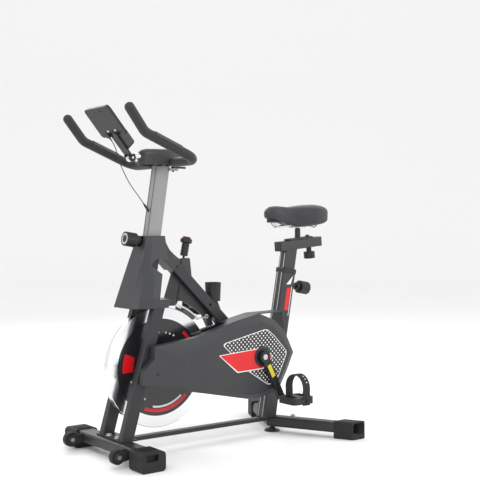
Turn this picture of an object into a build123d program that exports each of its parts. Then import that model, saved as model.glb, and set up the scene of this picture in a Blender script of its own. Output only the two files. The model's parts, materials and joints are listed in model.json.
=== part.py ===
"""Indoor cycling bike with a chromed flywheel, a belt drive and a padded saddle.

Millimetres.  +Z is up, the rider faces -X, and the belt drive is on the -Y side.
The origin is on the floor, half way between the ends of the bike.
"""
import os
from math import asin, atan2, cos, degrees, hypot, radians, sin, tan

from build123d import *

os.makedirs("parts", exist_ok=True)

# ---------------------------------------------------------------- driving dimensions
RUN_GAP = 0.05          # radial clearance of a shaft in its hole
SLIDE_GAP = 0.3         # gap around a post that slides in its tube
FREE_GAP = 0.4          # gap between pieces that turn past each other

# base
FRONT_X = -480.0        # front faces of the front feet
FRONT_WIDTH = 528.0     # over the front feet
REAR_WIDTH = 626.0      # over the rear feet
FOOT_L, FOOT_W, FOOT_H = 92.0, 77.0, 66.0
BAR_DEPTH, BAR_H, BAR_Z = 70.0, 38.0, 45.0
SOCKET = 45.0           # how far a bar enters its foot
PLATE_T = 5.0           # mounting plate on the front bar
REAR_APEX_X = 265.0     # where the swept rear bar meets the middle of the bike
REAR_SWEEP = 26.5       # degrees
REAR_BAR_W, REAR_BAR_H, REAR_BAR_Z = 48.0, 40.0, 40.0
REAR_FOOT_L = 66.0
BEAM_W, BEAM_H = 30.0, 15.0

# transport wheels
WHEEL_R, WHEEL_W = 25.0, 22.0
WHEEL_OUT = 30.0        # axle ahead of the front feet
WHEEL_Z = 43.0
WHEEL_Y = 162.0
EAR_T = 3.0
BOLT_R = 4.0

# front frame
LEG_LEAN = 16.0
LEG_DEPTH, LEG_W, LEG_Y = 45.0, 30.0, 65.0
LEG_X = FRONT_X + 60.0  # middle of a leg where it stands on the plate
TUBE_WALL = 2.0
CROWN_Z, CROWN_H = 511.0, 22.0
HEAD_LEAN = 8.7
HEAD_X, HEAD_TOP = -276.5, 752.0
POST_DEPTH, POST_W, POST_WALL = 52.0, 40.0, 2.5
HEAD_WALL = 3.0
BEAM_SLOPE = 44.4       # main beam, degrees down towards the rear
BEAM_P = (-146.5, 604.0)  # a point on its centreline
MAIN_DEPTH, MAIN_W = 40.0, 44.0
ACCESS_R = 4.5          # holes in the main beam's side
WEB_T = 6.0

# flywheel and drive
FLY_X, FLY_Z = -252.0, 292.0
FLY_R, FLY_RING_R, FLY_W = 210.0, 170.0, 26.0
HUB_R = 28.0
AXLE_R = 10.0
BEARING_R, BEARING_W = 21.0, 12.0
BEARING_Y = 58.0        # middle of each flywheel bearing
CRANK_X, CRANK_Z = 117.0, 311.0
SHELL_HALF, SHELL_WALL = 34.0, 4.0
BELT_Y, BELT_W, BELT_T = -97.0, 16.0, 3.0
PULLEY_SMALL, PULLEY_LARGE = 26.0, 104.0
CRANK_L, CRANK_T, CRANK_Y = 170.0, 16.0, 137.0
CRANK_DOWN = 62.7       # rest angle of the near crank below the horizontal, rearward
GUARD_IN, GUARD_RIM, GUARD_OUT, GUARD_WALL = -84.0, -110.0, -125.0, 2.5
PEDAL_L, PEDAL_W, PEDAL_H = 96.0, 92.0, 24.0
PEDAL_Y = 223.0         # middle of the tread
STRAP_T, STRAP_W, STRAP_RISE = 3.0, 32.0, 92.0

# seat
SEAT_LEAN = 10.02
SEAT_X, SEAT_BOTTOM, SEAT_TOP = 237.0, 62.0, 605.0
SEAT_DEPTH, SEAT_W = 62.0, 46.0
SPOST_DEPTH, SPOST_W = 55.0, 38.0
SPOST_BOTTOM, SPOST_TOP = 430.0, 694.0
COLLAR_H = 18.0
RAIL_RISE = 5.6         # the saddle's tube climbs rearward by this angle
RAIL_X, RAIL_Z, RAIL_L, RAIL_H, RAIL_WALL = 295.0, 707.0, 206.0, 37.0, 2.5
SADDLE_NOSE_X, SADDLE_L, SADDLE_REAR_W, SADDLE_NOSE_W = 226.0, 282.0, 206.0, 62.0
SADDLE_AXIS_Z, SADDLE_PIN_R, SADDLE_PIN_HALF = 788.0, 8.0, 17.0
STEM_TOP = 776.5
BASE_Z, BASE_T, SKIRT_T = 800.0, 6.0, 15.0
RAIL_WIRE_R, RAIL_HALF = 3.5, 22.0

# handlebar
BAR_R, BAR_WALL, GRIP_R = 12.5, 1.5, 16.5
CROSS_X, CROSS_Z = -228.0, 1007.0
ARM_Y = 209.0
BEND_X, BEND_Z = -432.0, 1088.0
TIP_X, TIP_Y, TIP_Z = -491.0, 213.0, 1163.0
POST_BOTTOM, POST_TOP = 642.0, 990.0
COVER_A, COVER_B, COVER_LOW, COVER_HIGH = 94.0, 55.0, 998.0, 1054.0

# console
TILT_X, TILT_Z = -362.0, 1020.0
TILT_UP = 49.8          # the holder's back climbs forward by this angle
HOLDER_TOP, HOLDER_LOW, HOLDER_W, HOLDER_T = 211.0, 94.0, 160.0, 6.0
BOOM_R = 11.0

# brake, knobs and lead
KNOB_LEAN = 11.0
KNOB_X, KNOB_LOW = -144.0, 672.0   # where the resistance rod leaves its bracket
ROD_R, ROD_DOWN = 4.0, 164.6       # rod's radius and its length below the bracket's top
BRAKE_PIN_R, BRAKE_ARM_R = 3.0, 227.0
HEIGHT_KNOB_Z, SEAT_KNOB_Z, SCREW_R = 727.0, 562.0, 6.0
CABLE_R = 1.5

# the origin is half way between the transport wheels' fronts and the saddle's tail
TO_ORIGIN = -(FRONT_X - WHEEL_OUT - WHEEL_R + SADDLE_NOSE_X + SADDLE_L) / 2


# ---------------------------------------------------------------- helpers
def lean_x(x, z, lean, height):
    """X of a line through (x, z) leaning rearward, at another height."""
    return x + (height - z) * tan(radians(lean))


def lean_plane(x, z, lean, y=0.0):
    """Plane across a leaning tube: its Z runs up the tube, its X points rearward, its Y is +Y."""
    a = radians(lean)
    return Plane(origin=(x, y, z), x_dir=(cos(a), 0, -sin(a)), z_dir=(sin(a), 0, cos(a)))


def side_plane(y, x=0.0, z=0.0):
    """Plane parallel to the side view: local x is X, local y is Z, and it faces -Y."""
    return Plane(origin=(x, y, z), x_dir=(1, 0, 0), z_dir=(0, -1, 0))


def box_bar(plane, depth, width, length, corner=4.0, mode=Mode.ADD):
    """A solid rectangular bar from a plane."""
    with BuildSketch(plane) as section:
        RectangleRounded(depth, width, corner)
    extrude(section.sketch, amount=length, mode=mode)


def box_tube(plane, depth, width, length, wall, corner=4.0):
    """A rectangular tube from a plane, hollow all the way."""
    with BuildSketch(plane) as section:
        RectangleRounded(depth, width, corner)
        RectangleRounded(depth - 2 * wall, width - 2 * wall, max(corner - wall, 0.6), mode=Mode.SUBTRACT)
    extrude(section.sketch, amount=length)


def disc(plane, radius, thickness, hole=0.0, mode=Mode.ADD):
    """A disc or a ring extruded from a plane."""
    with BuildSketch(plane) as section:
        Circle(radius)
        if hole:
            Circle(hole, mode=Mode.SUBTRACT)
    extrude(section.sketch, amount=thickness, mode=mode)


def side_plate(points, y_low, y_high, corner=0.0, mode=Mode.ADD):
    """A plate with a side-view outline, between two Y values."""
    with BuildSketch(side_plane(y_high)) as outline:
        with BuildLine():
            Polyline(*points, close=True)
        make_face()
        if corner:
            fillet(outline.vertices(), corner)
    extrude(outline.sketch, amount=y_high - y_low, mode=mode)


def write(name, label):
    """Label a finished piece, move it to the bike's own origin and write its STEP file."""
    placed = name.part.moved(Location((TO_ORIGIN, 0, 0)))
    placed.label = label
    export_step(placed, f"parts/{label}.step")


# axes of the two clamp screws and of the resistance rod, each pointing outward
head_tilt, seat_tilt = radians(HEAD_LEAN), radians(SEAT_LEAN)
height_axis = Plane(origin=(lean_x(HEAD_X, HEAD_TOP, HEAD_LEAN, HEIGHT_KNOB_Z), 0, HEIGHT_KNOB_Z),
                    x_dir=(0, 1, 0), z_dir=(-cos(head_tilt), 0, sin(head_tilt)))
seat_axis = Plane(origin=(lean_x(SEAT_X, SEAT_BOTTOM, SEAT_LEAN, SEAT_KNOB_Z), 0, SEAT_KNOB_Z),
                  x_dir=(0, 1, 0), z_dir=(cos(seat_tilt), 0, -sin(seat_tilt)))
rod_plane = lean_plane(KNOB_X, KNOB_LOW, KNOB_LEAN)


def rod_at(along):
    """Plane across the resistance rod, at a distance above the top of its bracket."""
    start = rod_plane.origin + along * rod_plane.z_dir
    return Plane(origin=start, x_dir=rod_plane.x_dir, z_dir=rod_plane.z_dir)


# ---------------------------------------------------------------- front stabiliser and feet
bar_x = FRONT_X + FOOT_L / 2
bar_half = FRONT_WIDTH / 2 - FOOT_W + SOCKET
bar_top = BAR_Z + BAR_H / 2
plate_top = bar_top + PLATE_T
bar_front = bar_x - BAR_DEPTH / 2
wheel_x = FRONT_X - WHEEL_OUT
ear_gap = WHEEL_W / 2 + 1.0
ear_r = 17.0
across_bar = Plane(origin=(bar_x, -bar_half, BAR_Z), x_dir=(1, 0, 0), z_dir=(0, 1, 0))
wheel_ear = [
    (bar_front + 2, BAR_Z + ear_r - 2), (wheel_x, WHEEL_Z + ear_r),
    (wheel_x, WHEEL_Z - ear_r), (bar_front + 2, BAR_Z - ear_r + 2),
]

with BuildPart() as front_stabilizer:
    box_tube(across_bar, BAR_DEPTH, BAR_H, 2 * bar_half, TUBE_WALL, 12)
    with BuildSketch(Plane.XY.offset(bar_top)):
        with Locations((LEG_X + 1, 0)):
            RectangleRounded(LEG_DEPTH + 16, 2 * LEG_Y + LEG_W + 16, 5)
    extrude(amount=PLATE_T)
    for wheel_y in (-WHEEL_Y, WHEEL_Y):
        for y_low in (wheel_y - ear_gap - EAR_T, wheel_y + ear_gap):
            side_plate(wheel_ear, y_low, y_low + EAR_T)
            disc(side_plane(y_low + EAR_T, wheel_x, WHEEL_Z), ear_r, EAR_T)
        ears_y = wheel_y + ear_gap + EAR_T
        disc(side_plane(ears_y, wheel_x, WHEEL_Z), BOLT_R, 2 * (ear_gap + EAR_T), mode=Mode.SUBTRACT)
write(front_stabilizer, "front_stabilizer")

foot_in = FRONT_WIDTH / 2 - FOOT_W
with BuildPart() as front_feet:
    with BuildSketch(side_plane(-foot_in)) as foot_section:
        with Locations((bar_x, FOOT_H / 2)):
            Rectangle(FOOT_L, FOOT_H)
        fillet(foot_section.vertices().group_by(Axis.Z)[-1], 15)
    extrude(amount=FOOT_W)
    # socket for the bar, recess in the outer end, ribs for the shoe
    with BuildSketch(side_plane(-foot_in, bar_x, BAR_Z)):
        RectangleRounded(BAR_DEPTH, BAR_H, 12)
    extrude(amount=SOCKET, mode=Mode.SUBTRACT)
    with BuildSketch(side_plane(-FRONT_WIDTH / 2, bar_x - 4, FOOT_H * 0.71)):
        RectangleRounded(44, 22, 3)
    extrude(amount=-14, mode=Mode.SUBTRACT)
    with BuildSketch(Plane.XY.offset(FOOT_H - 0.5)):
        with Locations((bar_x, -foot_in - 24)):
            with GridLocations(9, 1, 7, 1):
                RectangleRounded(4, 46, 1.5)
    extrude(amount=3.0)
    mirror(about=Plane.XZ)
write(front_feet, "front_feet")

# ---------------------------------------------------------------- transport wheels
for side, wheel_y in (("near", -WHEEL_Y), ("far", WHEEL_Y)):
    with BuildPart() as transport_wheel:
        disc(side_plane(wheel_y + WHEEL_W / 2, wheel_x, WHEEL_Z), WHEEL_R, WHEEL_W, BOLT_R + RUN_GAP)
        fillet(transport_wheel.edges().filter_by(GeomType.CIRCLE).group_by(SortBy.RADIUS)[-1], 3)
        for face_y in (wheel_y - WHEEL_W / 2 + 1.5, wheel_y + WHEEL_W / 2):
            disc(side_plane(face_y, wheel_x, WHEEL_Z), WHEEL_R - 7, 1.5, BOLT_R + 4, mode=Mode.SUBTRACT)
    write(transport_wheel, f"transport_wheel_{side}")

with BuildPart() as wheel_bolts:
    for wheel_y in (-WHEEL_Y, WHEEL_Y):
        outer = wheel_y - ear_gap - EAR_T
        span = 2 * (ear_gap + EAR_T)
        disc(side_plane(outer + span + 7, wheel_x, WHEEL_Z), BOLT_R, span + 7)
        for face_y in (outer, outer + span + 5):
            with BuildSketch(side_plane(face_y, wheel_x, WHEEL_Z)) as hexagon:
                RegularPolygon(7.5, 6)
            extrude(hexagon.sketch, amount=5)
write(wheel_bolts, "wheel_bolts")

# ---------------------------------------------------------------- fork legs, crown and head tube
leg_top_x = lean_x(LEG_X, plate_top, LEG_LEAN, CROWN_Z)
crown_mid_x = leg_top_x + 16
crown_top = CROWN_Z + CROWN_H
crown_l = LEG_DEPTH + 56

with BuildPart() as fork_legs:
    box_tube(lean_plane(lean_x(LEG_X, plate_top, LEG_LEAN, 30), 30, LEG_LEAN, -LEG_Y),
             LEG_DEPTH, LEG_W, 560, TUBE_WALL, 5)
    split(bisect_by=Plane.XY.offset(plate_top), keep=Keep.TOP)
    split(bisect_by=Plane.XY.offset(CROWN_Z), keep=Keep.BOTTOM)
    mirror(about=Plane.XZ)
write(fork_legs, "fork_legs")

head_in_depth = POST_DEPTH + 2 * SLIDE_GAP
head_in_w = POST_W + 2 * SLIDE_GAP
head_out_depth = head_in_depth + 2 * HEAD_WALL
head_out_w = head_in_w + 2 * HEAD_WALL

with BuildPart() as head_tube:
    box_tube(lean_plane(lean_x(HEAD_X, HEAD_TOP, HEAD_LEAN, 500), 500, HEAD_LEAN),
             head_out_depth, head_out_w, 300, HEAD_WALL, 5)
    split(bisect_by=Plane.XY.offset(crown_top), keep=Keep.TOP)
    split(bisect_by=Plane.XY.offset(HEAD_TOP), keep=Keep.BOTTOM)
    with BuildSketch(Plane.XY.offset(CROWN_Z)) as crown_section:
        with Locations((crown_mid_x, 0)):
            RectangleRounded(crown_l, 2 * LEG_Y + LEG_W, 6)
    extrude(crown_section.sketch, amount=CROWN_H)
    with BuildSketch(Plane.XY.offset(CROWN_Z + 3)) as crown_hollow:
        with Locations((crown_mid_x, 0)):
            RectangleRounded(crown_l - 6, 2 * LEG_Y + LEG_W - 6, 3)
    extrude(crown_hollow.sketch, amount=CROWN_H - 6, mode=Mode.SUBTRACT)
    disc(height_axis, SCREW_R + RUN_GAP, 60, mode=Mode.SUBTRACT)
write(head_tube, "head_tube")

# ---------------------------------------------------------------- main beam and web
slope = radians(BEAM_SLOPE)
beam_dir = (cos(slope), -sin(slope))
beam_up = (sin(slope), cos(slope))


def beam_point(along, above=0.0):
    """(X, Z) at a distance down the main beam from its datum and above its centreline."""
    x = BEAM_P[0] + along * beam_dir[0] + above * beam_up[0]
    return (x, BEAM_P[1] + along * beam_dir[1] + above * beam_up[1])


def beam_plane(along, above=0.0):
    """Plane across the main beam: its Z runs down the beam, its X points out of the beam's top."""
    x, z = beam_point(along, above)
    return Plane(origin=(x, 0, z), x_dir=(beam_up[0], 0, beam_up[1]), z_dir=(beam_dir[0], 0, beam_dir[1]))


beam_end = (CRANK_X - BEAM_P[0]) * beam_dir[0] + (CRANK_Z - BEAM_P[1]) * beam_dir[1]
shell_r = BEARING_R + SHELL_WALL
crown_rear = crown_mid_x + crown_l / 2
web_front = (crown_rear, crown_top - 12)
arc_start, arc_mid, arc_end = (FLY_X + 100, FLY_Z + 226), (FLY_X + 168, FLY_Z + 186), (FLY_X + 227, FLY_Z + 129)
web_high, web_rear = beam_point(-48, 1 - MAIN_DEPTH / 2), beam_point(196, 1 - MAIN_DEPTH / 2)
brake_pin = (FLY_X + 204, FLY_Z + 166)
EAR_Y = WEB_T / 2 + 0.5     # inner face of each of the brake arm's ears

with BuildPart() as main_beam:
    box_tube(beam_plane(-190), MAIN_DEPTH, MAIN_W, 190 + beam_end, TUBE_WALL, 4)
    with BuildSketch(side_plane(WEB_T / 2)) as web:
        with BuildLine():
            Line(web_high, (crown_rear, crown_top - 4))
            Line((crown_rear, crown_top - 4), web_front)
            Line(web_front, arc_start)
            ThreePointArc(arc_start, arc_mid, arc_end)
            Line(arc_end, web_rear)
            Line(web_rear, web_high)
        make_face()
    extrude(web.sketch, amount=WEB_T)
    box_bar(lean_plane(lean_x(HEAD_X, HEAD_TOP, HEAD_LEAN, 500), 500, HEAD_LEAN),
            head_out_depth, head_out_w, 400, 5, mode=Mode.SUBTRACT)
    split(bisect_by=lean_plane(HEAD_X, HEAD_TOP, HEAD_LEAN).rotated((0, 90, 0)), keep=Keep.TOP)
    disc(side_plane(60, CRANK_X, CRANK_Z), shell_r, 120, mode=Mode.SUBTRACT)
    # the rod passes the beam and the web in a plain hole, and the brake's pin is pressed into the web
    disc(rod_at(-200), ROD_R + 1.4, 200, mode=Mode.SUBTRACT)
    disc(side_plane(EAR_Y + 5, *brake_pin), BRAKE_PIN_R, 2 * EAR_Y + 10)
    # two access holes in the near wall
    for hole_at in (-58, 147):
        wall_plane = side_plane(-MAIN_W / 2 + TUBE_WALL + 1, *beam_point(hole_at, 0))
        disc(wall_plane, ACCESS_R, TUBE_WALL + 2, mode=Mode.SUBTRACT)
write(main_beam, "main_beam")

# ---------------------------------------------------------------- bottom bracket, stays and axle plates
seat_front_x = lean_x(SEAT_X, SEAT_BOTTOM, SEAT_LEAN, CRANK_Z)

with BuildPart() as bottom_bracket:
    disc(side_plane(SHELL_HALF, CRANK_X, CRANK_Z), shell_r, 2 * SHELL_HALF)
    # strut back to the seat tube
    with BuildSketch(Plane(origin=(CRANK_X, 0, CRANK_Z), x_dir=(0, 1, 0), z_dir=(1, 0, 0))) as strut:
        RectangleRounded(MAIN_W, 40, 4)
    extrude(strut.sketch, amount=seat_front_x - CRANK_X)
    box_bar(lean_plane(lean_x(SEAT_X, SEAT_BOTTOM, SEAT_LEAN, 100), 100, SEAT_LEAN),
            SEAT_DEPTH, SEAT_W + 4, 500, 5, mode=Mode.SUBTRACT)
    disc(side_plane(SHELL_HALF, CRANK_X, CRANK_Z), BEARING_R, 2 * SHELL_HALF, mode=Mode.SUBTRACT)
write(bottom_bracket, "bottom_bracket")

stay_start = (lean_x(LEG_X, plate_top, LEG_LEAN, 322), LEG_Y - 1, 322)
stay_end = beam_point(262, -10)
stay_end = (stay_end[0], MAIN_W / 2 - 2, stay_end[1])
STAY_H, STAY_W = 30.0, 22.0
stay_run = Vector(*stay_end) - Vector(*stay_start)
stay_side = Vector(0, 0, 1).cross(stay_run).normalized()
plate_low, plate_high = FLY_Z - 34, FLY_Z + 62

with BuildPart() as stays:
    with BuildSketch(Plane(origin=stay_start, x_dir=stay_side, z_dir=stay_run)) as stay_section:
        RectangleRounded(STAY_W, STAY_H, 4)
    extrude(stay_section.sketch, amount=stay_run.length)
    # plate under the stay with the housing of the flywheel's bearing
    side_plate([(FLY_X - 34, plate_high), (FLY_X + 34, plate_high), (FLY_X + 30, plate_low), (FLY_X - 30, plate_low)],
               BEARING_Y - 3, BEARING_Y + 3, 6)
    disc(side_plane(BEARING_Y + BEARING_W / 2, FLY_X, FLY_Z), BEARING_R + 5, BEARING_W)
    disc(side_plane(BEARING_Y + BEARING_W / 2, FLY_X, FLY_Z), BEARING_R, BEARING_W, mode=Mode.SUBTRACT)
    box_bar(lean_plane(LEG_X, plate_top, LEG_LEAN, LEG_Y), LEG_DEPTH, LEG_W, 460, 5, mode=Mode.SUBTRACT)
    box_bar(beam_plane(-100), MAIN_DEPTH, MAIN_W, 600, 4, mode=Mode.SUBTRACT)
    mirror(about=Plane.XZ)
write(stays, "stays")

with BuildPart() as shaft_bearings:
    for bearing_x, bearing_z, bearing_y in (
        (FLY_X, FLY_Z, BEARING_Y), (FLY_X, FLY_Z, -BEARING_Y),
        (CRANK_X, CRANK_Z, SHELL_HALF - BEARING_W / 2), (CRANK_X, CRANK_Z, BEARING_W / 2 - SHELL_HALF),
    ):
        disc(side_plane(bearing_y + BEARING_W / 2, bearing_x, bearing_z), BEARING_R, BEARING_W, AXLE_R + RUN_GAP)
write(shaft_bearings, "shaft_bearings")

# ---------------------------------------------------------------- seat tube, base beam and rear stabiliser
rear_bar_top = REAR_BAR_Z + REAR_BAR_H / 2
seat_in_depth = SPOST_DEPTH + 2 * SLIDE_GAP
seat_in_w = SPOST_W + 2 * SLIDE_GAP
with BuildPart() as seat_tube:
    with BuildSketch(lean_plane(lean_x(SEAT_X, SEAT_BOTTOM, SEAT_LEAN, 30), 30, SEAT_LEAN)) as seat_section:
        RectangleRounded(SEAT_DEPTH, SEAT_W, 5)
        RectangleRounded(seat_in_depth, seat_in_w, 3, mode=Mode.SUBTRACT)
    extrude(seat_section.sketch, amount=650)
    split(bisect_by=Plane.XY.offset(rear_bar_top), keep=Keep.TOP)
    split(bisect_by=lean_plane(lean_x(SEAT_X, SEAT_BOTTOM, SEAT_LEAN, SEAT_TOP), SEAT_TOP, SEAT_LEAN),
          keep=Keep.BOTTOM)
    disc(seat_axis, SCREW_R + RUN_GAP, 60, mode=Mode.SUBTRACT)
write(seat_tube, "seat_tube")

collar_x = lean_x(SEAT_X, SEAT_BOTTOM, SEAT_LEAN, SEAT_TOP)
with BuildPart() as seat_collar:
    with BuildSketch(lean_plane(collar_x, SEAT_TOP, SEAT_LEAN)) as collar_section:
        RectangleRounded(SEAT_DEPTH + 5, SEAT_W + 5, 7)
        RectangleRounded(seat_in_depth, seat_in_w, 3, mode=Mode.SUBTRACT)
    extrude(collar_section.sketch, amount=COLLAR_H)
    chamfer(seat_collar.faces().sort_by(Axis.Z)[-1].outer_wire().edges(), 1.5)
write(seat_collar, "seat_collar")

rear_bar_l = (REAR_WIDTH / 2) / cos(radians(REAR_SWEEP))
sweep_dir = Vector(sin(radians(REAR_SWEEP)), cos(radians(REAR_SWEEP)), 0)
far_bar_plane = Plane(origin=(REAR_APEX_X, 0, REAR_BAR_Z), x_dir=(sweep_dir.Y, -sweep_dir.X, 0), z_dir=sweep_dir)
bar_end = REAR_WIDTH / 2 - 8
with BuildPart() as rear_stabilizer:
    box_bar(Plane(origin=far_bar_plane.origin - 60 * sweep_dir, x_dir=far_bar_plane.x_dir, z_dir=sweep_dir),
            REAR_BAR_W, REAR_BAR_H, rear_bar_l + 60, 10)
    box_bar(Plane(origin=far_bar_plane.origin + 45 * sweep_dir, x_dir=far_bar_plane.x_dir, z_dir=sweep_dir),
            REAR_BAR_W - 5, REAR_BAR_H - 5, rear_bar_l, 8, mode=Mode.SUBTRACT)
    split(bisect_by=Plane.XZ, keep=Keep.BOTTOM)
    split(bisect_by=Plane.XZ.offset(-bar_end), keep=Keep.TOP)
    mirror(about=Plane.XZ)
    with BuildSketch(Plane.XY.offset(REAR_BAR_Z - REAR_BAR_H / 2)) as level_hole:
        with Locations((REAR_APEX_X, 0)):
            Circle(6 + RUN_GAP)
    extrude(level_hole.sketch, amount=26, mode=Mode.SUBTRACT)
write(rear_stabilizer, "rear_stabilizer")

with BuildPart() as rear_feet:
    # shoe round the end of the swept bar, down to the floor
    shoe_plane = Plane(origin=far_bar_plane.origin, x_dir=far_bar_plane.x_dir, z_dir=sweep_dir)
    with BuildSketch(shoe_plane) as shoe_section:
        with Locations((0, REAR_BAR_Z - FOOT_H / 2)):
            RectangleRounded(REAR_BAR_W + 8, FOOT_H, 6)
    extrude(shoe_section.sketch, amount=rear_bar_l + 40)
    split(bisect_by=Plane.XZ.offset(-REAR_WIDTH / 2), keep=Keep.TOP)
    split(bisect_by=Plane.XZ.offset(-(REAR_WIDTH / 2 - REAR_FOOT_L)), keep=Keep.BOTTOM)
    with BuildSketch(shoe_plane) as bar_hole:
        RectangleRounded(REAR_BAR_W, REAR_BAR_H, 10)
    extrude(bar_hole.sketch, amount=rear_bar_l + 40, mode=Mode.SUBTRACT)
    mirror(about=Plane.XZ)
write(rear_feet, "rear_feet")

with BuildPart() as levelling_foot:
    with BuildSketch(Plane.XY):
        with Locations((REAR_APEX_X, 0)):
            Circle(30)
    extrude(amount=5, taper=12)
    with BuildSketch(Plane.XY.offset(5)):
        with Locations((REAR_APEX_X, 0)):
            Circle(17)
    extrude(amount=8, taper=25)
    with BuildSketch(Plane.XY.offset(13)):
        with Locations((REAR_APEX_X, 0)):
            Circle(6)
    extrude(amount=20)
write(levelling_foot, "levelling_foot")

beam_z = rear_bar_top - BEAM_H / 2
with BuildPart() as base_beam:
    front_end = bar_x + BAR_DEPTH / 2
    with BuildSketch(Plane(origin=(front_end, 0, beam_z), x_dir=(0, 1, 0), z_dir=(1, 0, 0))):
        RectangleRounded(BEAM_W, BEAM_H, 3)
    extrude(amount=REAR_APEX_X - front_end)
    box_bar(Plane(origin=far_bar_plane.origin - 60 * sweep_dir, x_dir=far_bar_plane.x_dir, z_dir=sweep_dir),
            REAR_BAR_W, REAR_BAR_H, rear_bar_l + 60, 10, mode=Mode.SUBTRACT)
    near_sweep = Vector(sweep_dir.X, -sweep_dir.Y, 0)
    near_bar_x = (-near_sweep.Y, near_sweep.X, 0)
    box_bar(Plane(origin=far_bar_plane.origin - 60 * near_sweep, x_dir=near_bar_x, z_dir=near_sweep),
            REAR_BAR_W, REAR_BAR_H, rear_bar_l + 60, 10, mode=Mode.SUBTRACT)
    split(bisect_by=Plane.YZ.offset(REAR_APEX_X - 20), keep=Keep.BOTTOM)
write(base_beam, "base_beam")

# ---------------------------------------------------------------- flywheel, pulleys and belt
with BuildPart() as flywheel:
    hub_half = BEARING_Y - BEARING_W / 2 - 1.0
    disc(side_plane(FLY_W / 2, FLY_X, FLY_Z), FLY_R, FLY_W, FLY_RING_R)
    chamfer(flywheel.edges().filter_by(GeomType.CIRCLE).group_by(SortBy.RADIUS)[-1], 1.5)
    disc(side_plane(4, FLY_X, FLY_Z), FLY_RING_R + 1, 8)
    disc(side_plane(hub_half, FLY_X, FLY_Z), HUB_R, 2 * hub_half)
    disc(side_plane(hub_half, FLY_X, FLY_Z), AXLE_R, 2 * hub_half, mode=Mode.SUBTRACT)
write(flywheel, "flywheel")

with BuildPart() as flywheel_covers:
    # dished plastic discs on both sides of the web, inside the polished ring
    for face_y in (FLY_W / 2 - 1, 4 - FLY_W / 2):
        disc(side_plane(face_y, FLY_X, FLY_Z), FLY_RING_R, 3, HUB_R)
write(flywheel_covers, "flywheel_covers")

axle_far = BEARING_Y + BEARING_W / 2 + 8
axle_near = -BELT_Y + BELT_W / 2 + 4
with BuildPart() as flywheel_axle:
    disc(side_plane(axle_far, FLY_X, FLY_Z), AXLE_R, axle_far + axle_near)
write(flywheel_axle, "flywheel_axle")

belt_far = BELT_Y + BELT_W / 2
with BuildPart() as flywheel_pulley:
    disc(side_plane(belt_far, FLY_X, FLY_Z), PULLEY_SMALL, BELT_W, AXLE_R)
    for flange_y in (belt_far + 2, belt_far - BELT_W):
        disc(side_plane(flange_y, FLY_X, FLY_Z), PULLEY_SMALL + 5, 2, AXLE_R)
write(flywheel_pulley, "flywheel_pulley")

with BuildPart() as crank_pulley:
    disc(side_plane(belt_far, CRANK_X, CRANK_Z), PULLEY_LARGE, BELT_W, PULLEY_LARGE - 12)
    disc(side_plane(BELT_Y + 3, CRANK_X, CRANK_Z), PULLEY_LARGE - 11, 6, AXLE_R)
    with BuildSketch(side_plane(BELT_Y + 3, CRANK_X, CRANK_Z)) as windows:
        with PolarLocations(60, 5):
            Circle(20)
    extrude(windows.sketch, amount=6, mode=Mode.SUBTRACT)
    disc(side_plane(belt_far, CRANK_X, CRANK_Z), 22, BELT_W, AXLE_R)
write(crank_pulley, "crank_pulley")


def belt_outline(offset):
    """Side outline of the belt at an offset from the pulleys' rims: two arcs and two tangents."""
    small, large = PULLEY_SMALL + offset, PULLEY_LARGE + offset
    gap = hypot(CRANK_X - FLY_X, CRANK_Z - FLY_Z)
    line = atan2(CRANK_Z - FLY_Z, CRANK_X - FLY_X)
    spread = asin((large - small) / gap)

    def rim(x, z, radius, angle):
        return (x + radius * cos(angle), z + radius * sin(angle))

    up, down = line + radians(90) + spread, line - radians(90) - spread
    Line(rim(FLY_X, FLY_Z, small, up), rim(CRANK_X, CRANK_Z, large, up))
    ThreePointArc(rim(CRANK_X, CRANK_Z, large, up), rim(CRANK_X, CRANK_Z, large, line),
                  rim(CRANK_X, CRANK_Z, large, down))
    Line(rim(CRANK_X, CRANK_Z, large, down), rim(FLY_X, FLY_Z, small, down))
    ThreePointArc(rim(FLY_X, FLY_Z, small, down), rim(FLY_X, FLY_Z, small, line + radians(180)),
                  rim(FLY_X, FLY_Z, small, up))


with BuildPart() as drive_belt:
    with BuildSketch(side_plane(belt_far - 0.5)) as belt_section:
        with BuildLine():
            belt_outline(FREE_GAP + BELT_T)
        make_face()
        with BuildLine():
            belt_outline(FREE_GAP)
        make_face(mode=Mode.SUBTRACT)
    extrude(belt_section.sketch, amount=BELT_W - 1)
write(drive_belt, "drive_belt")

# ---------------------------------------------------------------- cranks and pedals
crank_half = CRANK_Y + CRANK_T / 2
with BuildPart() as crank_axle:
    disc(side_plane(crank_half, CRANK_X, CRANK_Z), AXLE_R, 2 * crank_half)
write(crank_axle, "crank_axle")

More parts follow.
